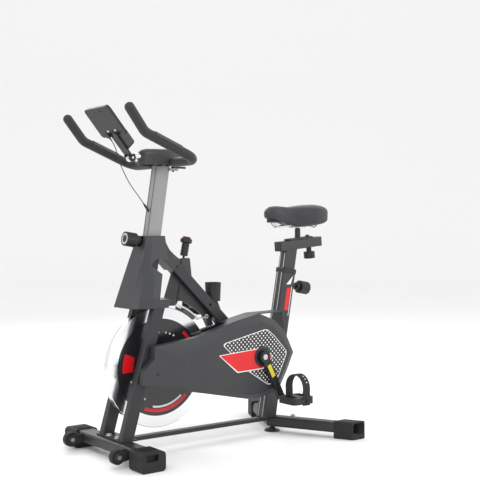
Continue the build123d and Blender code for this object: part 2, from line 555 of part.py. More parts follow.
near_angle = -CRANK_DOWN
pedal_rest = {}
for side, sign, angle in (("near", -1, near_angle), ("far", 1, near_angle + 180)):
    tip_x = CRANK_X + CRANK_L * cos(radians(angle))
    tip_z = CRANK_Z + CRANK_L * sin(radians(angle))
    pedal_rest[side] = (tip_x, tip_z)
    face_y = sign * CRANK_Y + CRANK_T / 2
    arm_side = (sin(radians(angle)), -cos(radians(angle)))
    with BuildPart() as crank_arm:
        corners = [
            (CRANK_X - 15 * arm_side[0], CRANK_Z - 15 * arm_side[1]),
            (tip_x - 12 * arm_side[0], tip_z - 12 * arm_side[1]),
            (tip_x + 12 * arm_side[0], tip_z + 12 * arm_side[1]),
            (CRANK_X + 15 * arm_side[0], CRANK_Z + 15 * arm_side[1]),
        ]
        side_plate(corners, face_y - CRANK_T, face_y)
        disc(side_plane(face_y, CRANK_X, CRANK_Z), 21, CRANK_T)
        disc(side_plane(face_y, tip_x, tip_z), 14, CRANK_T)
        disc(side_plane(face_y, CRANK_X, CRANK_Z), AXLE_R, CRANK_T, mode=Mode.SUBTRACT)
        # pedal spindle screwed into the arm
        spindle_near = min(sign * CRANK_Y, sign * (PEDAL_Y + PEDAL_W / 2 - 6))
        spindle_l = PEDAL_Y + PEDAL_W / 2 - 6 - CRANK_Y
        disc(side_plane(spindle_near + spindle_l, tip_x, tip_z), 6, spindle_l)
    write(crank_arm, f"crank_arm_{side}")

    with BuildPart() as pedal:
        body_y = sign * PEDAL_Y + PEDAL_W / 2
        with BuildSketch(Plane.XY.offset(tip_z - PEDAL_H / 2)) as tread:
            with Locations((tip_x, sign * PEDAL_Y)):
                RectangleRounded(PEDAL_L, PEDAL_W, 14)
                with GridLocations(58, 0, 2, 1):
                    RectangleRounded(24, PEDAL_W - 26, 5, mode=Mode.SUBTRACT)
        extrude(tread.sketch, amount=PEDAL_H)
        with BuildSketch(Plane.XY.offset(tip_z + PEDAL_H / 2 - 0.5)) as studs:
            with Locations((tip_x, sign * PEDAL_Y)):
                with GridLocations(PEDAL_L - 9, 16, 2, 5):
                    Circle(2.5)
                with GridLocations(20, PEDAL_W - 12, 2, 2):
                    Circle(2.5)
        extrude(studs.sketch, amount=3.0, taper=15)
        disc(side_plane(body_y, tip_x, tip_z), 6 + RUN_GAP, PEDAL_W, mode=Mode.SUBTRACT)
        cap_y = body_y if sign > 0 else body_y - PEDAL_W + 5
        disc(side_plane(cap_y, tip_x, tip_z), 11, 5)
    write(pedal, f"pedal_{side}")

    with BuildPart() as pedal_strap:
        # toe strap: a tall arch across the tread, with its two ends down the pedal's sides
        half = PEDAL_W / 2 + STRAP_T
        foot = -PEDAL_H / 2 - 4
        with BuildSketch(Plane(origin=(tip_x - STRAP_W / 2 + 8, sign * PEDAL_Y, tip_z), x_dir=(0, 1, 0),
                               z_dir=(1, 0, 0))) as strap_section:
            for shrink, mode in ((0.0, Mode.ADD), (STRAP_T, Mode.SUBTRACT)):
                w, top = half - shrink, STRAP_RISE - shrink
                with BuildLine():
                    Line((-w, foot - shrink), (-w, 34))
                    ThreePointArc((-w, 34), (0, top), (w, 34))
                    Line((w, 34), (w, foot - shrink))
                    Line((w, foot - shrink), (-w, foot - shrink))
                make_face(mode=mode)
        extrude(strap_section.sketch, amount=STRAP_W)
        disc(side_plane(sign * PEDAL_Y + half, tip_x, tip_z), 10, 2 * half, mode=Mode.SUBTRACT)
    write(pedal_strap, f"pedal_strap_{side}")

# ---------------------------------------------------------------- belt guard
# side outline of the guard, from the low front corner round the front, top and rear
guard_outline = [
    (-379, 252), (-374, 300), (-352, 318), (-334, 338), (-332, 378), (-240, 388), (-153, 399),
    (0, 444), (114, 467), (187, 439), (238, 392), (278, 313), (247, 248), (205, 178), (114, 159), (60, 160),
]
guard_field = [
    (-226, 236), (-225, 262), (-224, 282), (-221, 300), (-216, 322), (-180, 350), (-133, 374),
    (-12, 416), (112, 440), (170, 416), (214, 376), (250, 313), (226, 258), (186, 196), (112, 175), (60, 176),
]


def guard_block(grow, depth):
    """The guard's outer form, or, with a negative grow, its hollow: rim, then a slope to the raised field."""
    with BuildSketch(side_plane(GUARD_IN)) as rim:
        with BuildLine():
            Polyline(*guard_outline, close=True)
        make_face()
        if grow:
            offset(amount=grow, kind=Kind.INTERSECTION)
    extrude(rim.sketch, amount=GUARD_IN - GUARD_RIM - depth, mode=Mode.ADD)
    with BuildSketch(side_plane(GUARD_RIM + depth)) as base:
        with BuildLine():
            Polyline(*guard_outline, close=True)
        make_face()
        if grow:
            offset(amount=grow, kind=Kind.INTERSECTION)
    with BuildSketch(side_plane(GUARD_OUT + depth)) as field:
        with BuildLine():
            Polyline(*guard_field, close=True)
        make_face()
    loft([base.sketch, field.sketch], ruled=True)


with BuildPart() as guard_hollow:
    guard_block(-GUARD_WALL, GUARD_WALL)

with BuildPart() as belt_guard:
    guard_block(0.0, 0.0)
    add(guard_hollow.part, mode=Mode.SUBTRACT)
    disc(side_plane(GUARD_OUT + 10, CRANK_X, CRANK_Z), 24, 12, mode=Mode.SUBTRACT)
write(belt_guard, "belt_guard")

with BuildPart() as guard_back:
    side_plate(guard_outline, GUARD_IN, GUARD_IN + 2.5)
    disc(side_plane(GUARD_IN + 3, FLY_X, FLY_Z), AXLE_R + 4, 6, mode=Mode.SUBTRACT)
    disc(side_plane(GUARD_IN + 3, CRANK_X, CRANK_Z), AXLE_R + 4, 6, mode=Mode.SUBTRACT)
    # flange over the gap between the beam and the seat tube, turned down at its rear
    flange = [(-6, 440), (114, 465), (250, 468), (262, 404), (258, 402), (246, 464), (114, 461), (-6, 436)]
    side_plate(flange, GUARD_IN + 2, -MAIN_W / 2 - 6)
write(guard_back, "guard_back")

# ---------------------------------------------------------------- head cover
# half sections of the moulded cover, floor height: front corner, two creases, rear corner as (X, Y)
cover_sections = {
    505: [(-397, 56), (-377, 70), (-327, 84.5), (-262, 84.5)],
    540: [(-386, 53), (-366, 66), (-322, 84.5), (-250, 84.5)],
    645: [(-352, 44), (-317, 56), (-278, 56), (-240, 56)],
    752: [(-319, 33), (-295, 33), (-270, 33), (-243, 33)],
}
COVER_WALL = 3.0


def cover_loft(inset, low, high, rear):
    """Loft of the cover's sections, inset by a wall, with the end heights and the rear moved."""
    faces = []
    heights = list(cover_sections)
    for height, half in cover_sections.items():
        z = {heights[0]: low, heights[-1]: high}.get(height, height)
        points = [(half[0][0] + inset, half[0][1] - inset / 2)]
        points += [(x + inset / 2, y - inset) for x, y in half[1:-1]]
        points += [(half[-1][0] + rear, half[-1][1] - inset)]
        with BuildSketch(Plane.XY.offset(z)) as ring:
            with BuildLine():
                Polyline(*points, *[(x, -y) for x, y in reversed(points)], close=True)
            make_face()
        faces.append(ring.sketch)
    loft(faces, ruled=True)


fairing_top = [(-244, 752), (-237, 728), (-223, 704), (-203, 686)]
fairing_low = [beam_point(-62, 24), beam_point(-62, -24), beam_point(-118, -24), (-270, 690), (-270, 752)]
fairing = fairing_top + fairing_low
with BuildPart() as cover_hollow:
    cover_loft(COVER_WALL, 500, HEAD_TOP - COVER_WALL, 60)

with BuildPart() as head_cover:
    cover_loft(0.0, 505, 752, 0.0)
    add(cover_hollow.part, mode=Mode.SUBTRACT)
    with BuildSketch(side_plane(100)) as arch:
        with BuildLine():
            Line((-297, 534), (-272, 620))
            Line((-272, 620), (-312, 648))
            ThreePointArc((-312, 648), (-287, 671), (-238, 661))
            Line((-238, 661), (-190, 640))
            Line((-190, 640), (-190, 534))
            Line((-190, 534), (-297, 534))
        make_face()
    extrude(arch.sketch, amount=200, mode=Mode.SUBTRACT)
    side_plate(fairing, -30, 30)
    with BuildSketch(side_plane(27)) as fairing_hollow:
        with BuildLine():
            Polyline(*fairing, close=True)
        make_face()
        offset(amount=-COVER_WALL, kind=Kind.INTERSECTION)
    extrude(fairing_hollow.sketch, amount=54, mode=Mode.SUBTRACT)
    box_bar(beam_plane(-190), MAIN_DEPTH + 1, MAIN_W + 1, 300, 4, mode=Mode.SUBTRACT)
    box_bar(lean_plane(lean_x(HEAD_X, HEAD_TOP, HEAD_LEAN, 500), 500, HEAD_LEAN),
            head_out_depth + 0.6, head_out_w + 0.6, 400, 5, mode=Mode.SUBTRACT)
    disc(height_axis, 21, 90, mode=Mode.SUBTRACT)
write(head_cover, "head_cover")


# ---------------------------------------------------------------- clamp knobs
def clamp_knob(plane, start, body, reach, radius, neck_r, screw_r=6.0, lobes=9):
    """Clamp knob from its screw's tip: screw, neck and fluted grip, measured outward along the plane's Z."""
    at = Plane(origin=plane.origin + start * plane.z_dir, x_dir=plane.x_dir, z_dir=plane.z_dir)
    disc(at, screw_r, body - start)
    neck = Plane(origin=plane.origin + (body - 16) * plane.z_dir, x_dir=plane.x_dir, z_dir=plane.z_dir)
    disc(neck, neck_r, 17)
    grip = Plane(origin=plane.origin + body * plane.z_dir, x_dir=plane.x_dir, z_dir=plane.z_dir)
    with BuildSketch(grip) as grip_section:
        Circle(radius)
        with PolarLocations(radius + 1.5, lobes):
            Circle(3.2, mode=Mode.SUBTRACT)
    extrude(grip_section.sketch, amount=reach - body)


with BuildPart() as height_knob:
    clamp_knob(height_axis, POST_DEPTH / 2 + SLIDE_GAP, 66, 106, 25, 18)
    end_at = height_axis.origin + 106 * height_axis.z_dir
    end_face = Plane(origin=end_at, x_dir=(0, 1, 0), z_dir=height_axis.z_dir)
    disc(end_face, 19, -3, 13, mode=Mode.SUBTRACT)
write(height_knob, "height_knob")

with BuildPart() as seat_height_knob:
    clamp_knob(seat_axis, SPOST_DEPTH / 2 + SLIDE_GAP, 74, 116, 25, 15)
write(seat_height_knob, "seat_height_knob")

# ---------------------------------------------------------------- resistance knob and brake
with BuildPart() as rod_bracket:
    side_plate([beam_point(-42, MAIN_DEPTH / 2), beam_point(20, MAIN_DEPTH / 2), (KNOB_X + 18, KNOB_LOW - 4),
                (KNOB_X + 16, KNOB_LOW), (KNOB_X - 17, KNOB_LOW - 2)], -15, 15)
    disc(rod_at(-80), ROD_R + 1.4, 100, mode=Mode.SUBTRACT)
write(rod_bracket, "rod_bracket")

with BuildPart() as tension_sleeve:
    disc(rod_at(8), 13, 46, ROD_R + RUN_GAP)
    for ring in range(5):
        disc(rod_at(12 + 8 * ring), 14.5, 3, ROD_R + RUN_GAP)
write(tension_sleeve, "tension_sleeve")

with BuildPart() as resistance_knob:
    disc(rod_at(-ROD_DOWN), ROD_R, ROD_DOWN + 62)
    disc(rod_at(54 + FREE_GAP), 21, 16)
    fillet(resistance_knob.edges().filter_by(GeomType.CIRCLE).group_by(SortBy.RADIUS)[-1], 4)
    disc(rod_at(70), 15, 5)
write(resistance_knob, "resistance_knob")


def fly_point(radius, angle):
    """(X, Z) at a radius and an angle, in degrees, round the flywheel's axis."""
    return (FLY_X + radius * cos(radians(angle)), FLY_Z + radius * sin(radians(angle)))


def rim_strip(inner, outer, start, end, width):
    """A curved strip round the flywheel's rim, between two radii and two angles."""
    middle = (start + end) / 2
    with BuildSketch(side_plane(width / 2)) as strip:
        with BuildLine():
            ThreePointArc(fly_point(inner, start), fly_point(inner, middle), fly_point(inner, end))
            Line(fly_point(inner, end), fly_point(outer, end))
            ThreePointArc(fly_point(outer, end), fly_point(outer, middle), fly_point(outer, start))
            Line(fly_point(outer, start), fly_point(inner, start))
        make_face()
    extrude(strip.sketch, amount=width)


with BuildPart() as brake_arm:
    rim_strip(BRAKE_ARM_R - 3, BRAKE_ARM_R + 3, 73, 44, 32)
    ear_outline = [fly_point(BRAKE_ARM_R + 3, 44), fly_point(BRAKE_ARM_R - 3, 44),
                   (brake_pin[0] - 7, brake_pin[1] - 3), (brake_pin[0] + 7, brake_pin[1] + 3)]
    for ear_y in (-EAR_Y, EAR_Y + 4):
        side_plate(ear_outline, ear_y - 4, ear_y)
        disc(side_plane(ear_y, *brake_pin), 8, 4)
    disc(side_plane(10, *brake_pin), BRAKE_PIN_R + RUN_GAP, 20, mode=Mode.SUBTRACT)
write(brake_arm, "brake_arm")

with BuildPart() as brake_pad:
    rim_strip(FLY_R + 3, BRAKE_ARM_R - 3, 62, 48, FLY_W)
write(brake_pad, "brake_pad")

# ---------------------------------------------------------------- bottle cage on the main beam
cage_x, cage_low = -10.0, 512.0
with BuildPart() as bottle_cage:
    with BuildSketch(Plane.XY.offset(cage_low)) as cup:
        with Locations((cage_x, 6)):
            Circle(27)
    extrude(cup.sketch, amount=68, taper=-2)
    with BuildSketch(Plane.XY.offset(cage_low + 4)) as cup_hollow:
        with Locations((cage_x, 6)):
            Circle(24.5)
    extrude(cup_hollow.sketch, amount=68, taper=-2, mode=Mode.SUBTRACT)
    with BuildSketch(Plane.XY.offset(cage_low + 6)) as flutes:
        with Locations((cage_x, 6)):
            with PolarLocations(29.8, 16):
                Circle(2.2)
    extrude(flutes.sketch, amount=70, mode=Mode.SUBTRACT)
    side_plate([beam_point(160, MAIN_DEPTH / 2), beam_point(214, MAIN_DEPTH / 2), (cage_x + 10, cage_low + 1),
                (cage_x - 20, cage_low + 30)], -8, 8)
    with BuildSketch(Plane.XY.offset(cage_low + 4)) as cup_clear:
        with Locations((cage_x, 6)):
            Circle(24.5)
    extrude(cup_clear.sketch, amount=80, taper=-2, mode=Mode.SUBTRACT)
    box_bar(beam_plane(100), MAIN_DEPTH, MAIN_W, 200, 4, mode=Mode.SUBTRACT)
write(bottle_cage, "bottle_cage")

# ---------------------------------------------------------------- handlebar post and handlebar
LUG_Z, LUG_T = 981.0, 8.0
lever_pivot = (CROSS_X + 30, -16.0)
post_plane = lean_plane(lean_x(HEAD_X, HEAD_TOP, HEAD_LEAN, 560), 560, HEAD_LEAN)
with BuildPart() as handlebar_post:
    with BuildSketch(post_plane) as post_section:
        RectangleRounded(POST_DEPTH, POST_W, 4)
        RectangleRounded(POST_DEPTH - 2 * POST_WALL, POST_W - 2 * POST_WALL, 2, mode=Mode.SUBTRACT)
    extrude(post_section.sketch, amount=500)
    split(bisect_by=lean_plane(lean_x(HEAD_X, HEAD_TOP, HEAD_LEAN, POST_BOTTOM), POST_BOTTOM, HEAD_LEAN),
          keep=Keep.TOP)
    split(bisect_by=Plane.XY.offset(POST_TOP), keep=Keep.BOTTOM)
    # cap, clamp ring for the handlebar, lug for the console's boom and lug for the clamp lever
    with BuildSketch(Plane.XY.offset(LUG_Z)) as lever_lug:
        with Locations((CROSS_X + 27, lever_pivot[1])):
            RectangleRounded(36, 24, 3)
        with Locations(lever_pivot):
            Circle(BOLT_R + RUN_GAP, mode=Mode.SUBTRACT)
    extrude(lever_lug.sketch, amount=LUG_T)
    post_head_x = lean_x(HEAD_X, HEAD_TOP, HEAD_LEAN, POST_TOP)
    with BuildSketch(Plane.XY.offset(POST_TOP)) as cap_section:
        with Locations((post_head_x, 0)):
            RectangleRounded(POST_DEPTH + 2, POST_W, 4)
    extrude(cap_section.sketch, amount=5)
    disc(side_plane(20, CROSS_X, CROSS_Z), BAR_R + 6, 40)
    side_plate([(CROSS_X - 32, POST_TOP + 4), (CROSS_X - 8, POST_TOP + 4), (CROSS_X - 8, 1039), (CROSS_X - 32, 1039)],
               -12, 12)
    disc(side_plane(21, CROSS_X, CROSS_Z), BAR_R + RUN_GAP, 42, mode=Mode.SUBTRACT)
write(handlebar_post, "handlebar_post")

with BuildPart() as stem_cover:
    with BuildSketch(Plane.XY.offset(COVER_LOW)) as cover_plan:
        with Locations((CROSS_X - 6, 0)):
            Ellipse(COVER_A, COVER_B)
    extrude(cover_plan.sketch, amount=COVER_HIGH - COVER_LOW)
    fillet(stem_cover.edges().group_by(Axis.Z)[-1], 22)
    with BuildSketch(Plane.XY.offset(COVER_LOW)) as cover_inside:
        with Locations((CROSS_X - 6, 0)):
            Ellipse(COVER_A - 3, COVER_B - 3)
    extrude(cover_inside.sketch, amount=COVER_HIGH - COVER_LOW - 12, mode=Mode.SUBTRACT)
    side_plate([(CROSS_X + 36, COVER_LOW - 2), (CROSS_X + 100, COVER_LOW - 2), (CROSS_X + 100, COVER_LOW + 34),
                (CROSS_X + 82, COVER_LOW + 28)], -60, 60, mode=Mode.SUBTRACT)
    disc(side_plane(60, CROSS_X, CROSS_Z), BAR_R + 1, 120, mode=Mode.SUBTRACT)
    with BuildSketch(side_plane(60)) as cover_slot:
        with Locations((CROSS_X, COVER_LOW)):
            Rectangle(2 * BAR_R + 2, 18)
    extrude(cover_slot.sketch, amount=120, mode=Mode.SUBTRACT)
    with BuildSketch(Plane(origin=(CROSS_X - 20, 0, 1026), x_dir=(0, 1, 0), z_dir=(-1, 0, 0))) as boom_hole:
        Circle(BOOM_R)
    extrude(boom_hole.sketch, amount=100, mode=Mode.SUBTRACT)
write(stem_cover, "stem_cover")

bar_route = [
    (TIP_X, -TIP_Y, TIP_Z), (BEND_X, -ARM_Y, BEND_Z), (CROSS_X, -ARM_Y, CROSS_Z),
    (CROSS_X, ARM_Y, CROSS_Z), (BEND_X, ARM_Y, BEND_Z), (TIP_X, TIP_Y, TIP_Z),
]


def along_bar(radius, mode=Mode.ADD):
    """A round section swept along the handlebar's whole route."""
    with BuildLine() as route:
        FilletPolyline(*bar_route, radius=45)
    start = Vector(*bar_route[0])
    heading = (Vector(*bar_route[1]) - start).normalized()
    with BuildSketch(Plane(origin=start, z_dir=heading)) as section:
        Circle(radius)
    sweep(section.sketch, path=route.line, mode=mode)


with BuildPart() as handlebar:
    along_bar(BAR_R)
    along_bar(BAR_R - BAR_WALL, mode=Mode.SUBTRACT)
write(handlebar, "handlebar")

grip_inner_y = 72.0
with BuildPart() as handlebar_grips:
    along_bar(GRIP_R)
    for tip_y in (-TIP_Y, TIP_Y):
        with Locations((TIP_X, tip_y, TIP_Z)):
            Sphere(GRIP_R)
    along_bar(BAR_R, mode=Mode.SUBTRACT)
    with Locations((CROSS_X, 0, CROSS_Z)):
        Box(120, 2 * grip_inner_y, 120, mode=Mode.SUBTRACT)
write(handlebar_grips, "handlebar_grips")

arm_slope = atan2(CROSS_Z - BEND_Z, CROSS_X - BEND_X)
sensor_mid = ((BEND_X + CROSS_X) / 2 - 20, (BEND_Z + CROSS_Z) / 2 - 20 * tan(arm_slope))
with BuildPart() as pulse_sensors:
    for arm_y in (-ARM_Y, ARM_Y):
        sensor_plane = Plane(origin=(sensor_mid[0] - 55 * cos(arm_slope), arm_y, sensor_mid[1] - 55 * sin(arm_slope)),
                             x_dir=(0, 1, 0), z_dir=(cos(arm_slope), 0, sin(arm_slope)))
        with BuildSketch(sensor_plane) as shell_section:
            Circle(GRIP_R + 2.2)
            Circle(GRIP_R, mode=Mode.SUBTRACT)
            with Locations((0, -14 if sensor_plane.y_dir.Z > 0 else 14)):
                Rectangle(60, 36, mode=Mode.SUBTRACT)
        extrude(shell_section.sketch, amount=110)
write(pulse_sensors, "pulse_sensors")

with BuildPart() as clamp_lever:
    with BuildSketch(Plane.XY.offset(LUG_Z - 4)) as lever_bolt:
        with Locations(lever_pivot):
            Circle(BOLT_R)
    extrude(lever_bolt.sketch, amount=LUG_T + 6)
    with BuildSketch(Plane.XY.offset(LUG_Z + LUG_T + FREE_GAP)) as lever_section:
        with Locations(lever_pivot):
            Circle(8)
        with Locations((lever_pivot[0] + 26, lever_pivot[1])):
            RectangleRounded(52, 9, 3)
    extrude(lever_section.sketch, amount=7)
write(clamp_lever, "clamp_lever")

# ---------------------------------------------------------------- console boom, phone holder and console
tilt = radians(TILT_UP)
up_dir = Vector(-cos(tilt), 0, sin(tilt))
out_dir = Vector(sin(tilt), 0, cos(tilt))       # towards the rider
pivot = Vector(TILT_X, 0, TILT_Z)


def holder_plane(up, out, across=0.0):
    """Plane parallel to the holder's back: local x is +Y, local y climbs the holder, it faces the rider."""
    start = pivot + up * up_dir + out * out_dir + Vector(0, across, 0)
    return Plane(origin=start, x_dir=(0, 1, 0), z_dir=out_dir)


boom_z, TILT_PIN_R = 1026.0, 4.0
gland_foot = pivot + 95 * up_dir - 8 * out_dir + Vector(0, 26, 0)
with BuildPart() as console_boom:
    with BuildSketch(Plane(origin=(CROSS_X - 32, 0, boom_z), x_dir=(0, 1, 0), z_dir=(-1, 0, 0))) as boom_section:
        Circle(BOOM_R)
        Circle(BOOM_R - 1.5, mode=Mode.SUBTRACT)
    extrude(boom_section.sketch, amount=CROSS_X - 32 - TILT_X - 14)
    # knuckle with its tilt pin
    disc(side_plane(9, TILT_X, TILT_Z), 13, 18)
    disc(side_plane(17, TILT_X, TILT_Z), TILT_PIN_R, 34)
    with BuildSketch(Plane(origin=(TILT_X + 6, 0, boom_z - 3), x_dir=(0, 1, 0), z_dir=(1, 0, 0))) as knuckle_arm:
        RectangleRounded(18, 16, 3)
    extrude(knuckle_arm.sketch, amount=12)
write(console_boom, "console_boom")

with BuildPart() as phone_holder:
    # back plate with rounded corners, neck down to the tilt pin, shelf and rim
    with BuildSketch(holder_plane(0, -3)) as back:
        with Locations((0, (HOLDER_TOP + HOLDER_LOW) / 2)):
            RectangleRounded(HOLDER_W, HOLDER_TOP - HOLDER_LOW, 14)
        with Locations((0, (HOLDER_LOW + 8) / 2 + 6)):
            Rectangle(40, HOLDER_LOW)
        with Locations((-24, HOLDER_LOW + 22), (24, HOLDER_LOW + 22)):
            SlotOverall(26, 7, mode=Mode.SUBTRACT)
        with Locations((-18, HOLDER_TOP - 16), (18, HOLDER_TOP - 16)):
            Circle(3, mode=Mode.SUBTRACT)
    extrude(back.sketch, amount=HOLDER_T)
    with BuildSketch(holder_plane(0, HOLDER_T - 3)) as rim_section:
        with Locations((0, (HOLDER_TOP + HOLDER_LOW) / 2)):
            RectangleRounded(HOLDER_W, HOLDER_TOP - HOLDER_LOW, 14)
            RectangleRounded(HOLDER_W - 6, HOLDER_TOP - HOLDER_LOW - 6, 11, mode=Mode.SUBTRACT)
    extrude(rim_section.sketch, amount=4)
    with BuildSketch(holder_plane(HOLDER_LOW + 5, HOLDER_T - 3)) as shelf:
        with Locations((-30, 0), (30, 0)):
            RectangleRounded(30, 8, 2)
    extrude(shelf.sketch, amount=20)
    # clamps that stick out to the front under the plate
    with BuildSketch(holder_plane(HOLDER_LOW + 8, -3)) as clamps:
        with Locations((-26, 0), (26, 0)):
            RectangleRounded(22, 14, 3)
    extrude(clamps.sketch, amount=-9)
    for ear_y in (-10 - FREE_GAP, 15 + FREE_GAP):
        disc(side_plane(ear_y, TILT_X, TILT_Z), 13, 5)
        ear = Plane(origin=pivot + Vector(0, ear_y - 2.5, 0) + 3 * up_dir, x_dir=(0, 1, 0), z_dir=up_dir)
        with BuildSketch(ear) as ear_section:
            with Locations((0, 3)):
                Rectangle(5, 12)
        extrude(ear_section.sketch, amount=14)
    disc(side_plane(9 + FREE_GAP, TILT_X, TILT_Z), 14, 2 * (9 + FREE_GAP), mode=Mode.SUBTRACT)
    disc(side_plane(20, TILT_X, TILT_Z), TILT_PIN_R + RUN_GAP, 40, mode=Mode.SUBTRACT)
    # strain relief of the sensor lead, under the far clamp
    with BuildSketch(Plane(origin=gland_foot, x_dir=(0, 1, 0), z_dir=-up_dir)) as gland_section:
        Circle(3.5)
    extrude(gland_section.sketch, amount=12, taper=7)
write(phone_holder, "phone_holder")

case_low, case_high, case_half, case_out = 34.0, 102.0, 33.0, 37.0
with BuildPart() as console_case:
    with BuildSketch(holder_plane(0, HOLDER_T - 3)) as case_section:
        with Locations((0, (case_low + case_high) / 2)):
            RectangleRounded(2 * case_half, case_high - case_low, 14)
    extrude(case_section.sketch, amount=case_out - HOLDER_T + 3, taper=6)
    fillet(console_case.faces().sort_by(Axis(origin=(0, 0, 0), direction=tuple(out_dir)))[-1].edges(), 7)
    with BuildSketch(holder_plane(86, case_out - 9.5)) as button_hole:
        Circle(9 + SLIDE_GAP)
    extrude(button_hole.sketch, amount=30, mode=Mode.SUBTRACT)
    add(phone_holder.part, mode=Mode.SUBTRACT)
write(console_case, "console_case")

with BuildPart() as console_button:
    with BuildSketch(holder_plane(86, case_out - 6)) as button_section:
        Circle(9)
    extrude(button_section.sketch, amount=12)
    fillet(console_button.edges().filter_by(GeomType.CIRCLE).sort_by(Axis.Z)[-1], 2.5)
write(console_button, "console_button")

# ---------------------------------------------------------------- sensor lead
plug_angle = radians(52)
plug_z = 838.0
plug_x = lean_x(HEAD_X, HEAD_TOP, HEAD_LEAN, plug_z) - POST_DEPTH / 2 / cos(radians(HEAD_LEAN))
plug_dir = Vector(-cos(plug_angle), 0, sin(plug_angle))
plug_foot = Vector(plug_x, 0, plug_z)
plug_l = 34.0
cable_route = [
    tuple(gland_foot - (12 + FREE_GAP) * up_dir),
    (-411, 25.5, 1064), (-405, 23, 1046), (-402, 18, 1024), (-396, 12, 999), (-385, 7, 971), (-370, 4, 942),
    (-352.5, 1.5, 916), tuple(plug_foot + (plug_l + 28) * plug_dir), tuple(plug_foot + plug_l * plug_dir),
]

with BuildPart() as lead_plug:
    plug_plane = Plane(origin=plug_foot - 6 * plug_dir, x_dir=(0, 1, 0), z_dir=plug_dir)
    disc(plug_plane, 4, plug_l + 6 - 12)
    cone_foot = plug_foot + (plug_l - 12) * plug_dir
    with BuildSketch(Plane(origin=cone_foot, x_dir=(0, 1, 0), z_dir=plug_dir)) as cone:
        Circle(4)
    extrude(cone.sketch, amount=12, taper=9)
    box_bar(post_plane, POST_DEPTH, POST_W, 500, 4, mode=Mode.SUBTRACT)
write(lead_plug, "lead_plug")


def cord_radii(points):
    """Arc radius at each corner: 0.45 of the shorter run over the tangent of half the turn."""
    radii = []
    for before, corner, after in zip(points, points[1:], points[2:]):
        run_in, run_out = Vector(*corner) - Vector(*before), Vector(*after) - Vector(*corner)
        turn = radians(run_in.get_angle(run_out))
        radii.append(0.45 * min(run_in.length, run_out.length) / tan(turn / 2))
    return radii


radii = cord_radii(cable_route)
print("lead radii, mm:", [round(r) for r in radii])
with BuildPart() as sensor_lead:
    with BuildLine() as lead_path:
        FilletPolyline(*cable_route, radius=radii)
    lead_heading = Vector(*cable_route[1]) - Vector(*cable_route[0])
    with BuildSketch(Plane(origin=cable_route[0], z_dir=lead_heading)) as lead_section:
        Circle(CABLE_R)
    sweep(lead_section.sketch, path=lead_path.line)
write(sensor_lead, "sensor_lead")
lead_length = sum(edge.length for edge in lead_path.edges())
print("lead length, mm:", round(lead_length, 1))

# ---------------------------------------------------------------- seat post with its saddle tube
rail_a = radians(RAIL_RISE)
rail_dir = Vector(cos(rail_a), 0, sin(rail_a))
rail_up = Vector(-sin(rail_a), 0, cos(rail_a))


def rail_point(along, above=0.0):
    """A point along the saddle's tube from its front end, and above its centreline."""
    return Vector(RAIL_X, 0, RAIL_Z) + along * rail_dir + above * rail_up


def rail_top_plane(above):
    """Plane parallel to the tube's top: local x runs along the tube, local y is +Y."""
    return Plane(origin=rail_point(0, above), x_dir=rail_dir, z_dir=rail_up)


RAIL_W = SPOST_W
slot_w, neck_front, neck_rear, travel = 12.0, 60.0, 160.0, 30.0
screw_at = 155.0
with BuildPart() as seat_post:
    post_foot_x = lean_x(SEAT_X, SEAT_BOTTOM, SEAT_LEAN, SPOST_BOTTOM)
    with BuildSketch(lean_plane(post_foot_x, SPOST_BOTTOM, SEAT_LEAN)) as post_section:
        RectangleRounded(SPOST_DEPTH, SPOST_W, 4)
        RectangleRounded(SPOST_DEPTH - 5, SPOST_W - 5, 2, mode=Mode.SUBTRACT)
    extrude(post_section.sketch, amount=400)
    split(bisect_by=rail_top_plane(-RAIL_H / 2 + 1), keep=Keep.BOTTOM)
    with BuildSketch(Plane(origin=rail_point(0), x_dir=rail_up, z_dir=rail_dir)) as rail_section:
        RectangleRounded(RAIL_H, RAIL_W, 3)
    extrude(rail_section.sketch, amount=RAIL_L)
    with BuildSketch(Plane(origin=rail_point(0), x_dir=rail_up, z_dir=rail_dir)) as rail_hollow:
        RectangleRounded(RAIL_H - 2 * RAIL_WALL, RAIL_W - 2 * RAIL_WALL, 0.5)
    extrude(rail_hollow.sketch, amount=RAIL_L, mode=Mode.SUBTRACT)
    top_mid, top_l = (neck_front + neck_rear) / 2, neck_rear - neck_front + 2 * travel + 2
    with BuildSketch(rail_top_plane(0)) as slots:
        with Locations((top_mid, 0)):
            RectangleRounded(top_l, slot_w + 1, 3)
    extrude(slots.sketch, amount=RAIL_H, mode=Mode.SUBTRACT)
    with BuildSketch(rail_top_plane(0)) as screw_slot:
        with Locations((screw_at, 0)):
            SlotOverall(2 * travel + 14, 12)
    extrude(screw_slot.sketch, amount=-RAIL_H, mode=Mode.SUBTRACT)
write(seat_post, "seat_post")

